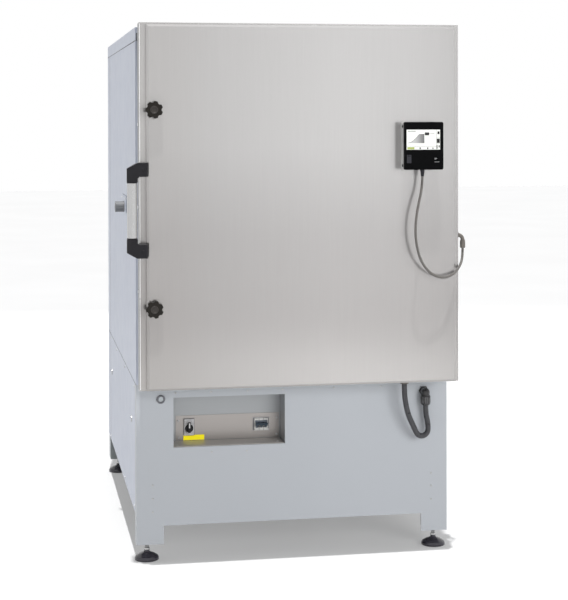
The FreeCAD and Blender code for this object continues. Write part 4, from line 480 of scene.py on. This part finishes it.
def add_lathe(bm, profile, place, axis="+z", segments=32, turn=0.0):
    """A turned form: (radius, height) points revolved about an axis that leaves the place."""
    matrix = Matrix.Translation(place) @ AXES[axis] @ Matrix.Rotation(turn, 4, "Z")
    rings = []
    for radius, height in profile:
        if radius < 1e-6:
            rings.append([bm.verts.new(matrix @ Vector((0, 0, height)))])
            continue
        rings.append([bm.verts.new(matrix @ Vector((radius * math.cos(a), radius * math.sin(a), height)))
                      for a in (2 * math.pi * i / segments for i in range(segments))])
    for low, high in zip(rings, rings[1:]):
        for i in range(segments):
            j = (i + 1) % segments
            if len(low) == 1 and len(high) == 1:
                continue
            if len(low) == 1:
                bm.faces.new((low[0], high[i], high[j]))
            elif len(high) == 1:
                bm.faces.new((low[i], low[j], high[0]))
            else:
                bm.faces.new((low[i], low[j], high[j], high[i]))


def add_screw(bm, place, axis, radius=0.004, height=0.0022, turn=0.0):
    """A pan-head screw with a hexagon recess."""
    r, h = radius, height
    add_lathe(bm, [(r, -0.0004), (r, h * 0.35), (r * 0.86, h * 0.8), (r * 0.6, h), (r * 0.5, h)],
              place, axis, 20, turn)
    add_lathe(bm, [(r * 0.5, h), (r * 0.46, h * 0.2), (0, h * 0.15)], place, axis, 6, turn)


def screws(name, places, axis, body, radius=0.004, height=0.0022, material="screw_steel"):
    bm = bmesh.new()
    for place in places:
        add_screw(bm, place, axis, radius, height, random.uniform(0, math.pi))
    return from_bmesh(name, bm, material, body)


def boxes(name, spans, material, body, bevel=0.0):
    bm = bmesh.new()
    for low, high in spans:
        add_box(bm, low, high, bevel)
    return from_bmesh(name, bm, material, body)


def turned(name, profile, place, axis, segments, material, body, smooth=True):
    bm = bmesh.new()
    add_lathe(bm, profile, place, axis, segments)
    return from_bmesh(name, bm, material, body, smooth)


# Cables: NURBS curves through the routes of the CAD tubes

def spline(name, points, radius):
    data = bpy.data.curves.new(name, "CURVE")
    data.dimensions = "3D"
    data.resolution_u = 12
    data.bevel_depth = radius
    data.bevel_resolution = 6
    data.use_fill_caps = True
    line = data.splines.new("NURBS")
    line.points.add(len(points) - 1)
    for point, place in zip(line.points, points):
        point.co = (*place, 1)
    line.order_u = 3
    line.use_endpoint_u = True
    obj = bpy.data.objects.new(name, data)
    scene.collection.objects.link(obj)
    return obj


def centre_line(obj):
    """The points of a curve's own line, read from its NURBS spline."""
    bare = obj.copy()
    bare.data = obj.data.copy()
    bare.data.bevel_depth = 0.0
    scene.collection.objects.link(bare)
    bpy.context.view_layer.update()
    mesh = bpy.data.meshes.new_from_object(bare.evaluated_get(bpy.context.evaluated_depsgraph_get()))
    path = [v.co.copy() for v in mesh.vertices]
    bpy.data.objects.remove(bare)
    return path


def tube_mesh(name, path, radius, material, body, rib=0.0, pitch=0.004, segments=20):
    """A tube along a path; with a rib height it gets the folds of a flexible conduit."""
    lengths = [0.0]
    for a, b in zip(path, path[1:]):
        lengths.append(lengths[-1] + (b - a).length)
    total = lengths[-1]
    count = int(total / (pitch / 4)) if rib else len(path) * 2
    bm = bmesh.new()
    rings = []
    side = None
    k = 0
    for i in range(count + 1):
        s = total * i / count
        while k < len(path) - 2 and lengths[k + 1] < s:
            k += 1
        t = (s - lengths[k]) / max(1e-9, lengths[k + 1] - lengths[k])
        centre = path[k].lerp(path[k + 1], min(1.0, t))
        along = (path[min(k + 2, len(path) - 1)] - path[max(k - 1, 0)]).normalized()
        if side is None:
            side = along.orthogonal().normalized()
        side = (side - along * side.dot(along)).normalized()
        up = along.cross(side)
        wave = 0.5 + 0.5 * math.cos(2 * math.pi * s / pitch) if rib else 1.0
        r = radius - rib * (1 - wave)
        rings.append([bm.verts.new(centre + (side * math.cos(a) + up * math.sin(a)) * r)
                      for a in (2 * math.pi * j / segments for j in range(segments))])
    for low, high in zip(rings, rings[1:]):
        for j in range(segments):
            n = (j + 1) % segments
            bm.faces.new((low[j], low[n], high[n], high[j]))
    bm.faces.new(rings[0])
    bm.faces.new(rings[-1])
    return from_bmesh(name, bm, material, body, True)


def door_hose():
    """Conduit from the door's lower edge to the elbow on the base."""
    y = FRONT
    points = [(0.402, y - 0.073, 0.636), (0.402, y - 0.073, 0.598), (0.408, y - 0.071, 0.556),
              (0.420, y - 0.066, 0.514), (0.440, y - 0.059, 0.474), (0.458, y - 0.050, 0.437),
              (0.483, y - 0.044, 0.431), (0.503, y - 0.038, 0.446), (0.503, y - 0.033, 0.478),
              (0.495, y - 0.030, 0.516), (0.495, y - 0.030, 0.552)]
    line = spline("door_hose_line", points, HOSE_RADIUS)
    path = centre_line(line)
    bpy.data.objects.remove(line)
    hose = tube_mesh("door_hose_conduit", path, HOSE_RADIUS, "hose_rubber", "casing", 0.0011, 0.0042)
    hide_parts("door_hose")
    hose.parent = None
    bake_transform(hose)


def controller_cable():
    """Cable that hangs from the controller and turns up into the gland on the door's edge."""
    y = FRONT
    points = [(0.432, y - 0.221, 1.435), (0.432, y - 0.221, 1.395), (0.425, y - 0.228, 1.352),
              (0.412, y - 0.236, 1.306), (0.402, y - 0.242, 1.257), (0.399, y - 0.244, 1.208),
              (0.404, y - 0.243, 1.159), (0.418, y - 0.238, 1.112), (0.442, y - 0.232, 1.074),
              (0.478, y - 0.225, 1.046), (0.521, y - 0.215, 1.039), (0.560, y - 0.195, 1.053),
              (0.590, y - 0.164, 1.078), (0.608, y - 0.135, 1.106), (0.608, y - 0.135, 1.141)]
    cable = spline("controller_cable_sheath", points, CABLE_RADIUS)
    cable.data.materials.append(mats["cable_rubber"])
    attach(cable, "door")
    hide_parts("controller_cable")
    path = centre_line(cable)


door_hose()
controller_cable()


# Fasteners and small parts of the casing and base

def box(name):
    low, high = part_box(name)
    return Vector(low), Vector(high)


def base_details():
    face = FRONT - 0.0001
    places = [(x, face, z) for x, rows in ((-0.526, (0.183, 0.232, 0.281)), (0.524, (0.184, 0.235, 0.282)))
              for z in rows]
    places += [(x, face, 0.616) for x in (-0.441, -0.310, -0.175, -0.043, 0.150, 0.330)]
    places += [(x, face, 0.395) for x in (-0.308, -0.178)]
    screws("base_front_screws", places, "-y", "casing", 0.0036, 0.0018)

    bm = bmesh.new()
    for side, axis in ((-SIDE, "-x"), (SIDE, "+x")):
        for y in (-0.690, -0.230, 0.230, 0.610):
            for z in (0.190, 0.632):
                add_screw(bm, (side, y, z), axis, 0.0042, 0.0022, random.uniform(0, 3))
    from_bmesh("side_screws", bm, "screw_steel", "casing")

    rear = [(x, BACK, z) for x in (-0.555, 0.555) for z in (0.20, 0.42, 0.62, 0.68, 1.00, 1.32, 1.64, 1.88)]
    rear += [(x, BACK, z) for x in (-0.28, 0.0, 0.28) for z in (0.62, 0.68, 1.88)]
    screws("rear_screws", rear, "+y", "casing", 0.0042, 0.0022)

    low, high = box("switch_plate")
    holes = [(low.x + 0.010, low.y, high.z - 0.019), (low.x + 0.012, low.y, low.z + 0.010),
             (high.x - 0.009, low.y, high.z - 0.019), (high.x - 0.009, low.y, low.z + 0.010)]
    screws("switch_plate_screws", holes, "-y", "casing", 0.0048, 0.0024)


def seams():
    """Dark strips in the joints of the casing sheets; the strips under the lip of the cover are a painted
    shadow, widest at the front.
    """
    low, high = box("casing_side_left")
    top = box("casing_top")[0].z
    spans = []
    for side in (-1, 1):
        face = side * (SIDE + 0.0003)
        inner = side * (SIDE - 0.0060)
        x0, x1 = min(face, inner), max(face, inner)
        # Painted shadow under the cover's lip, widest at the front and narrower towards the rear.
        spans.append(((x0, FRONT + 0.002, top - 0.0030), (x1, FRONT + 0.330, top + 0.0004)))
        spans.append(((x0, FRONT + 0.330, top - 0.0022), (x1, FRONT + 0.700, top + 0.0004)))
        spans.append(((x0, FRONT + 0.700, top - 0.0016), (x1, BACK - 0.002, top + 0.0004)))
        spans.append(((x0, FRONT + 0.004, low.z - 0.0018), (x1, BACK - 0.002, low.z + 0.0004)))
        spans.append(((x0, high.y - 0.0002, 0.175), (x1, high.y + 0.0012, top)))
    boxes("casing_seam_and_shadow_strips", spans, "seam_rubber", "casing")
    # Painted shade: dark pads fill the gap between door and casing at the top front corners, where it lies in
    # shade.
    pads = []
    for side in (-1, 1):
        x0, x1 = sorted((side * (SIDE - 0.003), side * (SIDE - 0.019)))
        pads.append(((x0, FRONT - 0.030, top - 0.002), (x1, FRONT - 0.0002, top + 0.026)))
    boxes("corner_gap_shade_pads", pads, "seam_rubber", "casing", 0.0012)
    strips = [((-SIDE + 0.004, BACK - 0.006, z - 0.0008), (SIDE - 0.004, BACK - 0.0004, z + 0.0006))
              for z in (low.z - 0.0004, top - 0.0006)]
    boxes("rear_seam_strips", strips, "seam_rubber", "casing")


def port_plug():
    """Rim and cap of the closing plug beside the niche."""
    place = Vector((-0.495, FRONT - 0.004, 0.595))
    rim = [(0.0095, 0.0), (0.0100, 0.0012), (0.0125, 0.0017), (0.0152, 0.0010), (0.0160, -0.0012),
           (0.0162, -0.0036)]
    turned("port_plug_rim", rim, place, "-y", 40, "plug_ring", "casing")
    cap = [(0, 0.0007), (0.0060, 0.0006), (0.0088, 0.0003), (0.0096, -0.0008)]
    turned("port_plug_cap", cap, place + Vector((0, 0.0022, 0)), "-y", 32, "plug_pale", "casing")


def niche_sheet():
    """Pale sheet on the floor of the niche, painted light where the door's overhang leaves the floor in
    shade, with two fixing screws at its front.
    """
    boxes("niche_floor_painted_light_sheet", [((-0.4465, FRONT + 0.0015, 0.4172), (-0.0385, FRONT + 0.1045, 0.4186))],
          "niche_floor", "casing", 0.0003)
    screws("niche_floor_screws", [(x, FRONT + 0.030, 0.4186) for x in (-0.432, -0.058)], "+z", "casing",
           0.0040, 0.0012, "screw_pale")


def main_switch_details():
    low, high = box("main_switch_body")
    lever_low, lever_high = box("main_switch_lever")
    middle = (low.x + high.x) / 2
    face = low.y
    boxes("switch_bezel_plate", [((low.x + 0.002, face - 0.0016, high.z - 0.026),
                                  (high.x - 0.002, face, high.z - 0.002))], "bezel_grey", "casing", 0.0008)
    boxes("switch_label_window", [((middle - 0.009, face - 0.0021, high.z - 0.020),
                                   (middle + 0.009, face - 0.0014, high.z - 0.007))],
          "mark_grey", "casing", 0.0004)
    boxes("switch_label_card", [((middle - 0.0065, face - 0.0024, high.z - 0.0175),
                                 (middle + 0.0065, face - 0.0019, high.z - 0.0095))],
          "mark_white", "casing", 0.0002)
    centre = ((lever_low.x + lever_high.x) / 2, face, lever_low.z + 0.015)
    ring = [(0.0153, -0.0002), (0.0153, 0.0016), (0.0159, 0.0021), (0.0170, 0.0021), (0.0177, 0.0014),
            (0.0177, -0.0002)]
    turned("switch_dial_ring", ring, centre, "-y", 48, "mark_white", "casing")
    outline = [((low.x, face - 0.0005, low.z), (low.x + 0.0013, face + 0.0020, high.z)),
               ((high.x - 0.0013, face - 0.0005, low.z), (high.x, face + 0.0020, high.z)),
               ((low.x, face - 0.0005, high.z - 0.0013), (high.x, face + 0.0020, high.z)),
               ((low.x, face - 0.0005, low.z), (high.x, face + 0.0020, low.z + 0.0013))]
    boxes("switch_bezel_edge", outline, "nut_grey", "casing", 0.0003)
    # Painted glow: the yellow label below the switch gives off a little light of its own.
    boxes("switch_yellow_label", [((low.x - 0.001, face + 0.0035, 0.4205),
                                   (low.x + 0.077, face + 0.0044, 0.4395))], "blank_yellow", "casing", 0.0003)
    grip = (lever_low + lever_high) / 2
    boxes("switch_lever_mark", [((grip.x - 0.0022, lever_low.y - 0.0009, lever_high.z - 0.0215),
                                 (grip.x + 0.0022, lever_low.y + 0.0004, lever_high.z - 0.0030))],
          "mark_white", "main_switch_lever", 0.0006)


def breaker_details():
    low, high = box("circuit_breaker")
    t_low, t_high = box("breaker_toggle")
    nose, root = low.y - 0.0006, low.y + 0.001
    width = (t_high.x - t_low.x) / 3
    poles = [(t_low.x + width * i, t_low.x + width * (i + 1)) for i in range(3)]
    caps = [((left + 0.0012, t_low.y - 0.0012, t_low.z + 0.0016),
             (right - 0.0012, t_low.y + 0.0014, t_high.z)) for left, right in poles]
    boxes("breaker_toggle_caps", caps, "breaker_blue", "breaker_toggle", 0.0010)
    boxes("breaker_upper_field", [((t_low.x + 0.001, nose, t_high.z + 0.0008),
                                   (t_high.x - 0.001, root, t_high.z + 0.0090))],
          "breaker_shade", "casing", 0.0003)
    teeth = [((left + 0.0045, nose, t_low.z - 0.0070), (right - 0.0045, root, t_low.z - 0.0008))
             for left, right in poles]
    boxes("breaker_lower_fields", teeth, "breaker_shade", "casing", 0.0003)
    lines = [((low.x + at - 0.0004, nose, low.z + 0.022), (low.x + at + 0.0004, root, high.z - 0.022))
             for at in (0.0175, 0.0345)]
    boxes("breaker_pole_lines", lines, "seam_rubber", "casing")
    plate_y = box("switch_plate")[0].y
    x0, z0 = -0.035 - 0.102, 0.416 + 0.033
    x1, z1 = x0 + 0.058, z0 + 0.045
    rim = 0.003
    spans = [((x0 - rim, plate_y - 0.0022, z0 - rim), (x1 + rim, plate_y, z0)),
             ((x0 - rim, plate_y - 0.0022, z1), (x1 + rim, plate_y, z1 + rim)),
             ((x0 - rim, plate_y - 0.0022, z0), (x0, plate_y, z1)),
             ((x1, plate_y - 0.0022, z0), (x1 + rim, plate_y, z1))]
    boxes("breaker_window_rim", spans, "bezel_grey", "casing", 0.0006)


def hinge_details():
    door_edge = box("hinge_leaves")[0].y
    rows = (("casing", box("hinge_brackets")[0].x + 0.0065, (FRONT + 0.030, FRONT + 0.060)),
            ("door", SIDE + 0.0065, (door_edge + 0.018, door_edge + 0.046)))
    for tag, z in HINGES:
        for body, x, row in rows:
            bm = bmesh.new()
            for y in row:
                for dz in (-0.042, 0.042):
                    add_screw(bm, (x, y, z + dz), "+x", 0.0062, 0.0036, random.uniform(0, 3))
            from_bmesh("hinge_%s_%s_screws" % (tag, body), bm, "screw_steel", body)


def foot_details():
    """Lock nuts, washers, visible thread and pad rims of the four levelling feet."""
    feet = [(x, y) for x in (-0.544, 0.544) for y in (FRONT + 0.045, BACK - 0.045)]
    for index, (x, y) in enumerate(feet):
        bm = bmesh.new()
        washer = [(0.0100, 0.0635), (0.0126, 0.0635), (0.0126, 0.0650), (0.0062, 0.0650)]
        add_lathe(bm, washer, (x, y, 0), "+z", 28)
        nut = [(0.0062, 0.0370), (0.0105, 0.0370), (0.0112, 0.0382), (0.0112, 0.0430), (0.0105, 0.0442),
               (0.0062, 0.0442)]
        add_lathe(bm, nut, (x, y, 0), "+z", 6, 0.3 * index)
        thread = []
        for turn in range(25):
            z = 0.0445 + 0.00075 * turn
            thread += [(0.0061, z), (0.0066, z + 0.00037)]
        add_lathe(bm, thread, (x, y, 0), "+z", 20)
        from_bmesh("foot_hardware_%d" % (index + 1), bm, "screw_steel", "casing")
        rim = [(0.0432, 0.0008), (0.0446, 0.0020), (0.0446, 0.0084), (0.0440, 0.0102), (0.0430, 0.0112)]
        turned("foot_rim_%d" % (index + 1), rim, (x, y, 0), "+z", 48, "foot_plastic", "casing")


def inlet_details():
    low, high = box("air_inlet_flange")
    face = -SIDE - 0.003
    places = [(face, low.y + 0.010 + dy, z) for dy in (0.0, high.y - low.y - 0.020)
              for z in (high.z - 0.010, high.z - 0.053)]
    screws("inlet_plate_screws", places, "-x", "casing", 0.0036, 0.002)
    # Painted shadow: a dark sheet just behind the inlet plate, showing as a dark outline round its edge.
    boxes("inlet_plate_shadow_outline", [((-SIDE - 0.0012, low.y - 0.0014, high.z - 0.0644),
                                  (-SIDE, high.y + 0.0014, high.z + 0.0014))], "seam_rubber", "casing")
    low, high = box("air_inlet_knob")
    centre = (low + high) / 2
    cap = [(0, 0.0010), (0.011, 0.0010), (0.0150, 0.0004), (0.0190, -0.0012), (0.0205, -0.0030)]
    turned("inlet_knob_cap", cap, (low.x, centre.y, centre.z), "-x", 36, "inlet_grey", "air_inlet_knob")
    boxes("inlet_knob_pointer", [((low.x - 0.0016, centre.y - 0.0009, centre.z + 0.004),
                                  (low.x - 0.0008, centre.y + 0.0009, centre.z + 0.015))],
          "mark_white", "air_inlet_knob")


# Details of the door

def door_details():
    low, high = box("door_skin")
    rim_y = FRONT - 0.155
    bm = bmesh.new()
    rings = bmesh.new()
    washer = [(0.0062, -0.0002), (0.0082, -0.0002), (0.0082, 0.0009), (0.0062, 0.0011)]
    for side, axis, rows in ((-SIDE, "-x", (1.598, 1.304, 1.004)), (SIDE, "+x", (1.304, 1.004))):
        for z in rows:
            place = (side, FRONT - 0.128, z)
            add_screw(bm, place, axis, 0.0062, 0.0036, random.uniform(0, 3))
            add_lathe(rings, washer, place, axis, 28)
    from_bmesh("door_side_screws", bm, "screw_pale", "door")
    from_bmesh("door_side_washers", rings, "seam_rubber", "door")
    places = [(x, FRONT - 0.075, low.z) for x in (-0.45, -0.15, 0.15)]
    screws("door_lower_screws", places, "-z", "door", 0.004, 0.002)

    # Painted highlight: a near-white strip along the fold at the door's left edge, where the bend catches the
    # light.
    fold = 0.0016
    spans = [((low.x + 0.0010, rim_y - fold, low.z + 0.004), (low.x + 0.0036, rim_y, high.z - 0.004))]
    boxes("door_rim_fold_highlight", spans, "rim_edge", "door", 0.0006)
    # Painted shade: thin, dull, darker sheets laid on the door's two side faces, which lie in shade.
    edges = [((side * SIDE - 0.0004, low.y + 0.0215, low.z + 0.003),
              (side * SIDE + 0.0004, high.y - 0.001, high.z - 0.003)) for side in (-1, 1)]
    boxes("door_edge_painted_shade_sheets", edges, "edge_sheet", "door")


def star_knob_details():
    cap = [(0.0142, -0.0006), (0.0138, 0.0012), (0.0124, 0.0017), (0.0110, 0.0010), (0.0098, -0.0006),
           (0.0060, -0.0010), (0, -0.0011)]
    for knob in ("star_knob_upper", "star_knob_lower"):
        low, high = box(knob)
        place = ((low.x + high.x) / 2, low.y, (low.z + high.z) / 2)
        turned(knob + "_cap", cap, place, "-y", 40, "knob_cap", knob)


def handle_details():
    low, high = box("handle_grip")
    centre = (low + high) / 2
    collar = [(0.0176, 0.0), (0.0184, 0.0006), (0.0184, 0.0030), (0.0176, 0.0036)]
    for tag, z, axis in (("lower", low.z, "+z"), ("upper", high.z, "-z")):
        turned("handle_%s_collar" % tag, collar, (centre.x, centre.y, z), axis, 40, "handle_plastic", "door")
    low, high = box("handle_legs")
    screws("handle_leg_caps", [(high.x - 0.016, low.y + 0.0003, z) for z in (low.z + 0.024, high.z - 0.024)],
           "-y", "door", 0.0050, 0.0014, "handle_plastic")


def controller_details():
    low, high = box("controller_front")
    face = low.y
    x0, z0 = low.x + 0.009, low.z + 0.072
    x1, z1 = x0 + 0.125, z0 + 0.073
    glass = face + 0.0010
    boxes("screen_glass", [((x0 + 0.0004, glass - 0.0006, z0 + 0.0004), (x1 - 0.0004, glass, z1 - 0.0004))],
          "screen_white", "door")
    ink = glass - 0.0008

    def field(name, spans, material):
        boxes(name, [((x0 + a, ink, z0 + b), (x0 + c, glass - 0.0004, z0 + d)) for a, b, c, d in spans],
              material, "door")

    field("screen_side_tabs", [(0.1120, 0.0240, 0.1235, 0.0395), (0.1150, 0.0560, 0.1225, 0.0660),
                               (0.1120, 0.0030, 0.1150, 0.0180), (0.1190, 0.0080, 0.1230, 0.0160)],
          "screen_dark")
    field("screen_tab_lines", [(0.1105, 0.0, 0.1112, 0.073), (0.1112, 0.0210, 0.125, 0.0218),
                               (0.1112, 0.0420, 0.125, 0.0428), (0.0, 0.0112, 0.1105, 0.0118)], "screen_grey")
    field("screen_value_field", [(0.0680, 0.0520, 0.0840, 0.0625)], "screen_dark")
    field("screen_heading", [(0.0040, 0.0660, 0.0340, 0.0678)], "screen_grey")
    field("screen_button", [(0.0030, 0.0015, 0.0290, 0.0095)], "screen_green")
    field("screen_icons", [(0.0480, 0.0025, 0.0530, 0.0085), (0.0760, 0.0025, 0.0810, 0.0085),
                           (0.0960, 0.0030, 0.1000, 0.0080)], "screen_grey")
    bm = bmesh.new()
    curve = [(0.006, 0.024), (0.014, 0.026), (0.024, 0.032), (0.033, 0.040), (0.042, 0.050), (0.047, 0.055),
             (0.066, 0.056), (0.066, 0.024)]
    corners = [bm.verts.new((x0 + a, ink, z0 + b)) for a, b in curve]
    bm.faces.new(corners)
    from_bmesh("screen_chart", bm, "screen_haze", "door")
    bm = bmesh.new()
    line = curve[:7] + [(0.104, 0.0575)]
    for (a, b), (c, d) in zip(line, line[1:]):
        quad = [(a, b), (c, d), (c, d + 0.0011), (a, b + 0.0011)]
        bm.faces.new([bm.verts.new((x0 + u, ink - 0.0002, z0 + v)) for u, v in quad])
    from_bmesh("screen_curve", bm, "screen_grey", "door")

    rim = 0.0016
    lip, root = face - 0.0006, face + 0.0002
    spans = [((low.x + rim, lip, low.z + rim), (low.x + 2 * rim, root, high.z - rim)),
             ((high.x - 2 * rim, lip, low.z + rim), (high.x - rim, root, high.z - rim)),
             ((low.x + 2 * rim, lip, high.z - 2 * rim), (high.x - 2 * rim, root, high.z - rim)),
             ((low.x + 2 * rim, lip, low.z + rim), (high.x - 2 * rim, root, low.z + 2 * rim))]
    boxes("controller_bezel_lip", spans, "panel_plastic", "door", 0.0002)
    marks = [(0.113, 0.0405, 0.122, 0.0420), (0.113, 0.0375, 0.119, 0.0386), (0.113, 0.0275, 0.131, 0.0286)]
    boxes("controller_status_marks", [((low.x + a, face - 0.0004, low.z + b), (low.x + c, root, low.z + d))
                                      for a, b, c, d in marks], "mark_grey", "door")
    h_low, h_high = box("controller_housing")
    for tag, x, axis in (("left", h_low.x, "-x"), ("right", h_high.x, "+x")):
        screws("controller_%s_screws" % tag, [(x, h_low.y + 0.028, z) for z in (1.589, 1.448)], axis, "door",
               0.0052, 0.0026, "handle_plastic")
    sleeve = [(0.0050, 0.0), (0.0090, 0.0), (0.0094, 0.0030), (0.0082, 0.0050), (0.0072, 0.0100),
              (0.0064, 0.0200), (0.0052, 0.0260), (0.0044, 0.0262)]
    turned("cable_grommet", sleeve, (*CABLE_TOP, h_low.z), "-z", 28, "black_plastic", "door")
    f_low, f_high = box("controller_flap")
    boxes("controller_flap_grip", [((f_low.x + 0.004, f_low.y - 0.0009, f_high.z - 0.0048),
                                    (f_high.x - 0.004, f_low.y + 0.0002, f_high.z - 0.0030))],
          "panel_plastic", "controller_flap", 0.0003)


def gland_details():
    """Ribbed cap nuts and seal rings of the cable and hose glands."""
    x, y = CABLE_GLAND
    nut = [(0.0046, 0.0), (0.0074, 0.0), (0.0094, 0.0016), (0.0102, 0.0030), (0.0102, 0.0230),
           (0.0092, 0.0246), (0.0076, 0.0250), (0.0076, 0.0300), (0.0066, 0.0306)]
    turned("cable_gland_nut", nut, (x, y, 1.1412), "+z", 12, "gland_plastic", "door", False)
    bm = bmesh.new()
    add_lathe(bm, [(0.0070, 0.0), (0.0084, 0.0004), (0.0086, 0.0014), (0.0082, 0.0024), (0.0070, 0.0028)],
              (x, y, 1.1688), "+z", 24)
    add_lathe(bm, [(0.0070, 0.0040), (0.0100, 0.0040), (0.0104, 0.0050), (0.0100, 0.0062), (0.0070, 0.0066)],
              (SIDE, y, 1.1890), "+x", 24)
    from_bmesh("cable_gland_rings", bm, "gland_plastic", "door", True)
    x, y, z = HOSE_ELBOW
    bm = bmesh.new()
    add_lathe(bm, [(0.0108, -0.006), (0.0135, -0.006), (0.0165, -0.0035), (0.0172, 0.0), (0.0172, 0.0035)],
              (x, y, z), "+z", 40)
    add_lathe(bm, [(0.0155, 0.0265), (0.0168, 0.0275), (0.0168, 0.0305), (0.0155, 0.0315)],
              (x, y, z), "+z", 40)
    from_bmesh("hose_elbow_collar", bm, "elbow_plastic", "casing", True)
    bm = bmesh.new()
    rib = [(0.0, 0.0), (0.0021, 0.0004), (0.0024, 0.0030), (0.0024, 0.0225), (0.0018, 0.0250), (0.0, 0.0254)]
    for index in range(14):
        angle = 2 * math.pi * index / 14
        place = (x + 0.0160 * math.cos(angle), y + 0.0160 * math.sin(angle), z + 0.0005)
        add_lathe(bm, rib, place, "+z", 8)
    from_bmesh("hose_elbow_grip_ribs", bm, "nut_grey", "casing", True)


# Details of the back and the inside

def rear_details():
    motor_front = box("fan_motor")[0].y
    x, z = FAN
    bm = bmesh.new()
    for index in range(4):
        angle = math.pi / 4 + math.pi / 2 * index
        place = (x + 0.096 * math.cos(angle), motor_front + 0.0081, z + 0.096 * math.sin(angle))
        add_screw(bm, place, "+y", 0.0065, 0.0045, angle)
    from_bmesh("motor_flange_screws", bm, "screw_steel", "casing")
    x, z = EXHAUST
    bm = bmesh.new()
    for index in range(4):
        angle = math.pi / 2 * index
        place = (x + 0.050 * math.cos(angle), BACK + 0.003, z + 0.050 * math.sin(angle))
        add_screw(bm, place, "+y", 0.0038, 0.0022, index)
    from_bmesh("exhaust_flange_screws", bm, "screw_steel", "casing")
    lip = [(0.0381, 0.0), (0.0390, 0.0010), (0.0399, 0.0004)]
    turned("exhaust_pipe_lip", lip, (x, BACK + 0.0920, z), "+y", 48, "stainless", "casing")


def chamber_details():
    """Screw rows on the front frame, the side baffles and the door's plug."""
    front = box("front_frame")[0].y
    ring = [(x, front, z) for x in (-0.470, 0.470) for z in (0.80, 1.06, 1.32, 1.58, 1.80)]
    ring += [(x, front, z) for x in (-0.30, 0.0, 0.30) for z in (0.745, 1.850)]
    screws("front_frame_screws", ring, "-y", "casing", 0.0045, 0.0024)
    for tag, x, axis in (("left", -0.3245, "+x"), ("right", 0.3245, "-x")):
        places = [(x, FRONT + y, z) for y in (0.030, 0.330, 0.640, 0.940) for z in (0.920, 1.690)]
        screws("baffle_screws_" + tag, places, axis, "casing", 0.0042, 0.0024)
    back = box("door_plug")[1].y
    places = [(x, back, z) for x in (-0.31, 0.31) for z in (0.98, 1.305, 1.63)]
    places += [(x, back, z) for x in (-0.155, 0.0, 0.155) for z in (0.98, 1.63)]
    screws("door_plug_screws", places, "+y", "door", 0.0045, 0.0024)


for add_details in (base_details, seams, port_plug, niche_sheet, main_switch_details, breaker_details,
                    hinge_details, foot_details, inlet_details, door_details, star_knob_details,
                    handle_details, controller_details, gland_details, rear_details, chamber_details):
    add_details()


# Floor and light

def white_to_camera(tree, strength):
    """A mix factor that is the strength for camera, glossy and transmission rays, and 0 for others."""
    path = tree.nodes.new("ShaderNodeLightPath")
    total = path.outputs["Is Camera Ray"]
    for ray in ("Is Glossy Ray", "Is Transmission Ray"):
        add = tree.nodes.new("ShaderNodeMath")
        add.operation = "ADD"
        add.use_clamp = True
        tree.links.new(total, add.inputs[0])
        tree.links.new(path.outputs[ray], add.inputs[1])
        total = add.outputs[0]
    scale = tree.nodes.new("ShaderNodeMath")
    scale.operation = "MULTIPLY"
    scale.inputs[1].default_value = strength
    tree.links.new(total, scale.inputs[0])
    return scale.outputs[0]


def make_floor():
    g = Graph("floor")
    g.set(Roughness=0.9, Specular_IOR_Level=0.0, Emission_Color=(1, 1, 1, 1))
    spots = g.noise(g.scaled(1, 1, 1), 0.8, 2.0)
    g.colour(g.ramp(spots, "Fac", [(0.3, 0.61), (0.7, 0.63)]))
    g.tree.links.new(white_to_camera(g.tree, 0.245), g.shader.inputs["Emission Strength"])
    bm = bmesh.new()
    corners = [bm.verts.new(v) for v in ((-30, -30, 0), (30, -30, 0), (30, 30, 0), (-30, 30, 0))]
    bm.faces.new(corners)
    mesh = bpy.data.meshes.new("floor")
    bm.to_mesh(mesh)
    bm.free()
    floor = bpy.data.objects.new("floor", mesh)
    mesh.materials.append(g.material)
    scene.collection.objects.link(floor)
    floor.location.z = -0.0005


def area(name, place, target, size, power, colour=(1, 1, 1)):
    """A soft lamp aimed at a target; shiny metal doesn't show its outline."""
    data = bpy.data.lights.new(name, "AREA")
    data.shape = "RECTANGLE"
    data.size, data.size_y = size
    data.energy = power
    data.color = colour
    lamp = bpy.data.objects.new(name, data)
    lamp.location = place
    lamp.rotation_euler = (Vector(target) - Vector(place)).to_track_quat("-Z", "Y").to_euler()
    lamp.visible_glossy = False
    scene.collection.objects.link(lamp)


def make_light():
    sun = bpy.data.lights.new("top_light", "SUN")
    sun.energy = 3.0
    sun.angle = math.radians(1.2)
    lamp = bpy.data.objects.new("top_light", sun)
    lamp.rotation_euler = (math.radians(12), math.radians(-1.7), 0)
    scene.collection.objects.link(lamp)
    area("front_light", (2.0, -5.8, 1.8), (0.0, -0.9, 1.25), (3.2, 2.0), 150)
    area("left_light", (-6.2, -0.5, 1.6), (-0.6, 0.0, 1.1), (4.0, 2.2), 60, (0.97, 0.985, 1.0))
    area("right_light", (6.2, 0.5, 1.6), (0.6, 0.0, 1.1), (4.0, 2.2), 58)
    area("rear_light", (0.5, 6.6, 1.8), (0, 0.8, 1.2), (4.0, 2.2), 68)


def make_world():
    world = bpy.data.worlds.new("world")
    scene.world = world
    world.use_nodes = True
    tree = world.node_tree
    tree.nodes.clear()
    output = tree.nodes.new("ShaderNodeOutputWorld")
    light = tree.nodes.new("ShaderNodeBackground")
    light.inputs["Color"].default_value = (0.98, 0.985, 1.0, 1)
    light.inputs["Strength"].default_value = 0.24
    white = tree.nodes.new("ShaderNodeBackground")
    white.inputs["Color"].default_value = (1, 1, 1, 1)
    white.inputs["Strength"].default_value = 1.0
    mix = tree.nodes.new("ShaderNodeMixShader")
    tree.links.new(white_to_camera(tree, 1.0), mix.inputs["Fac"])
    tree.links.new(light.outputs["Background"], mix.inputs[1])
    tree.links.new(white.outputs["Background"], mix.inputs[2])
    tree.links.new(mix.outputs["Shader"], output.inputs["Surface"])


make_floor()
make_light()
make_world()
scene.view_settings.view_transform = "Standard"
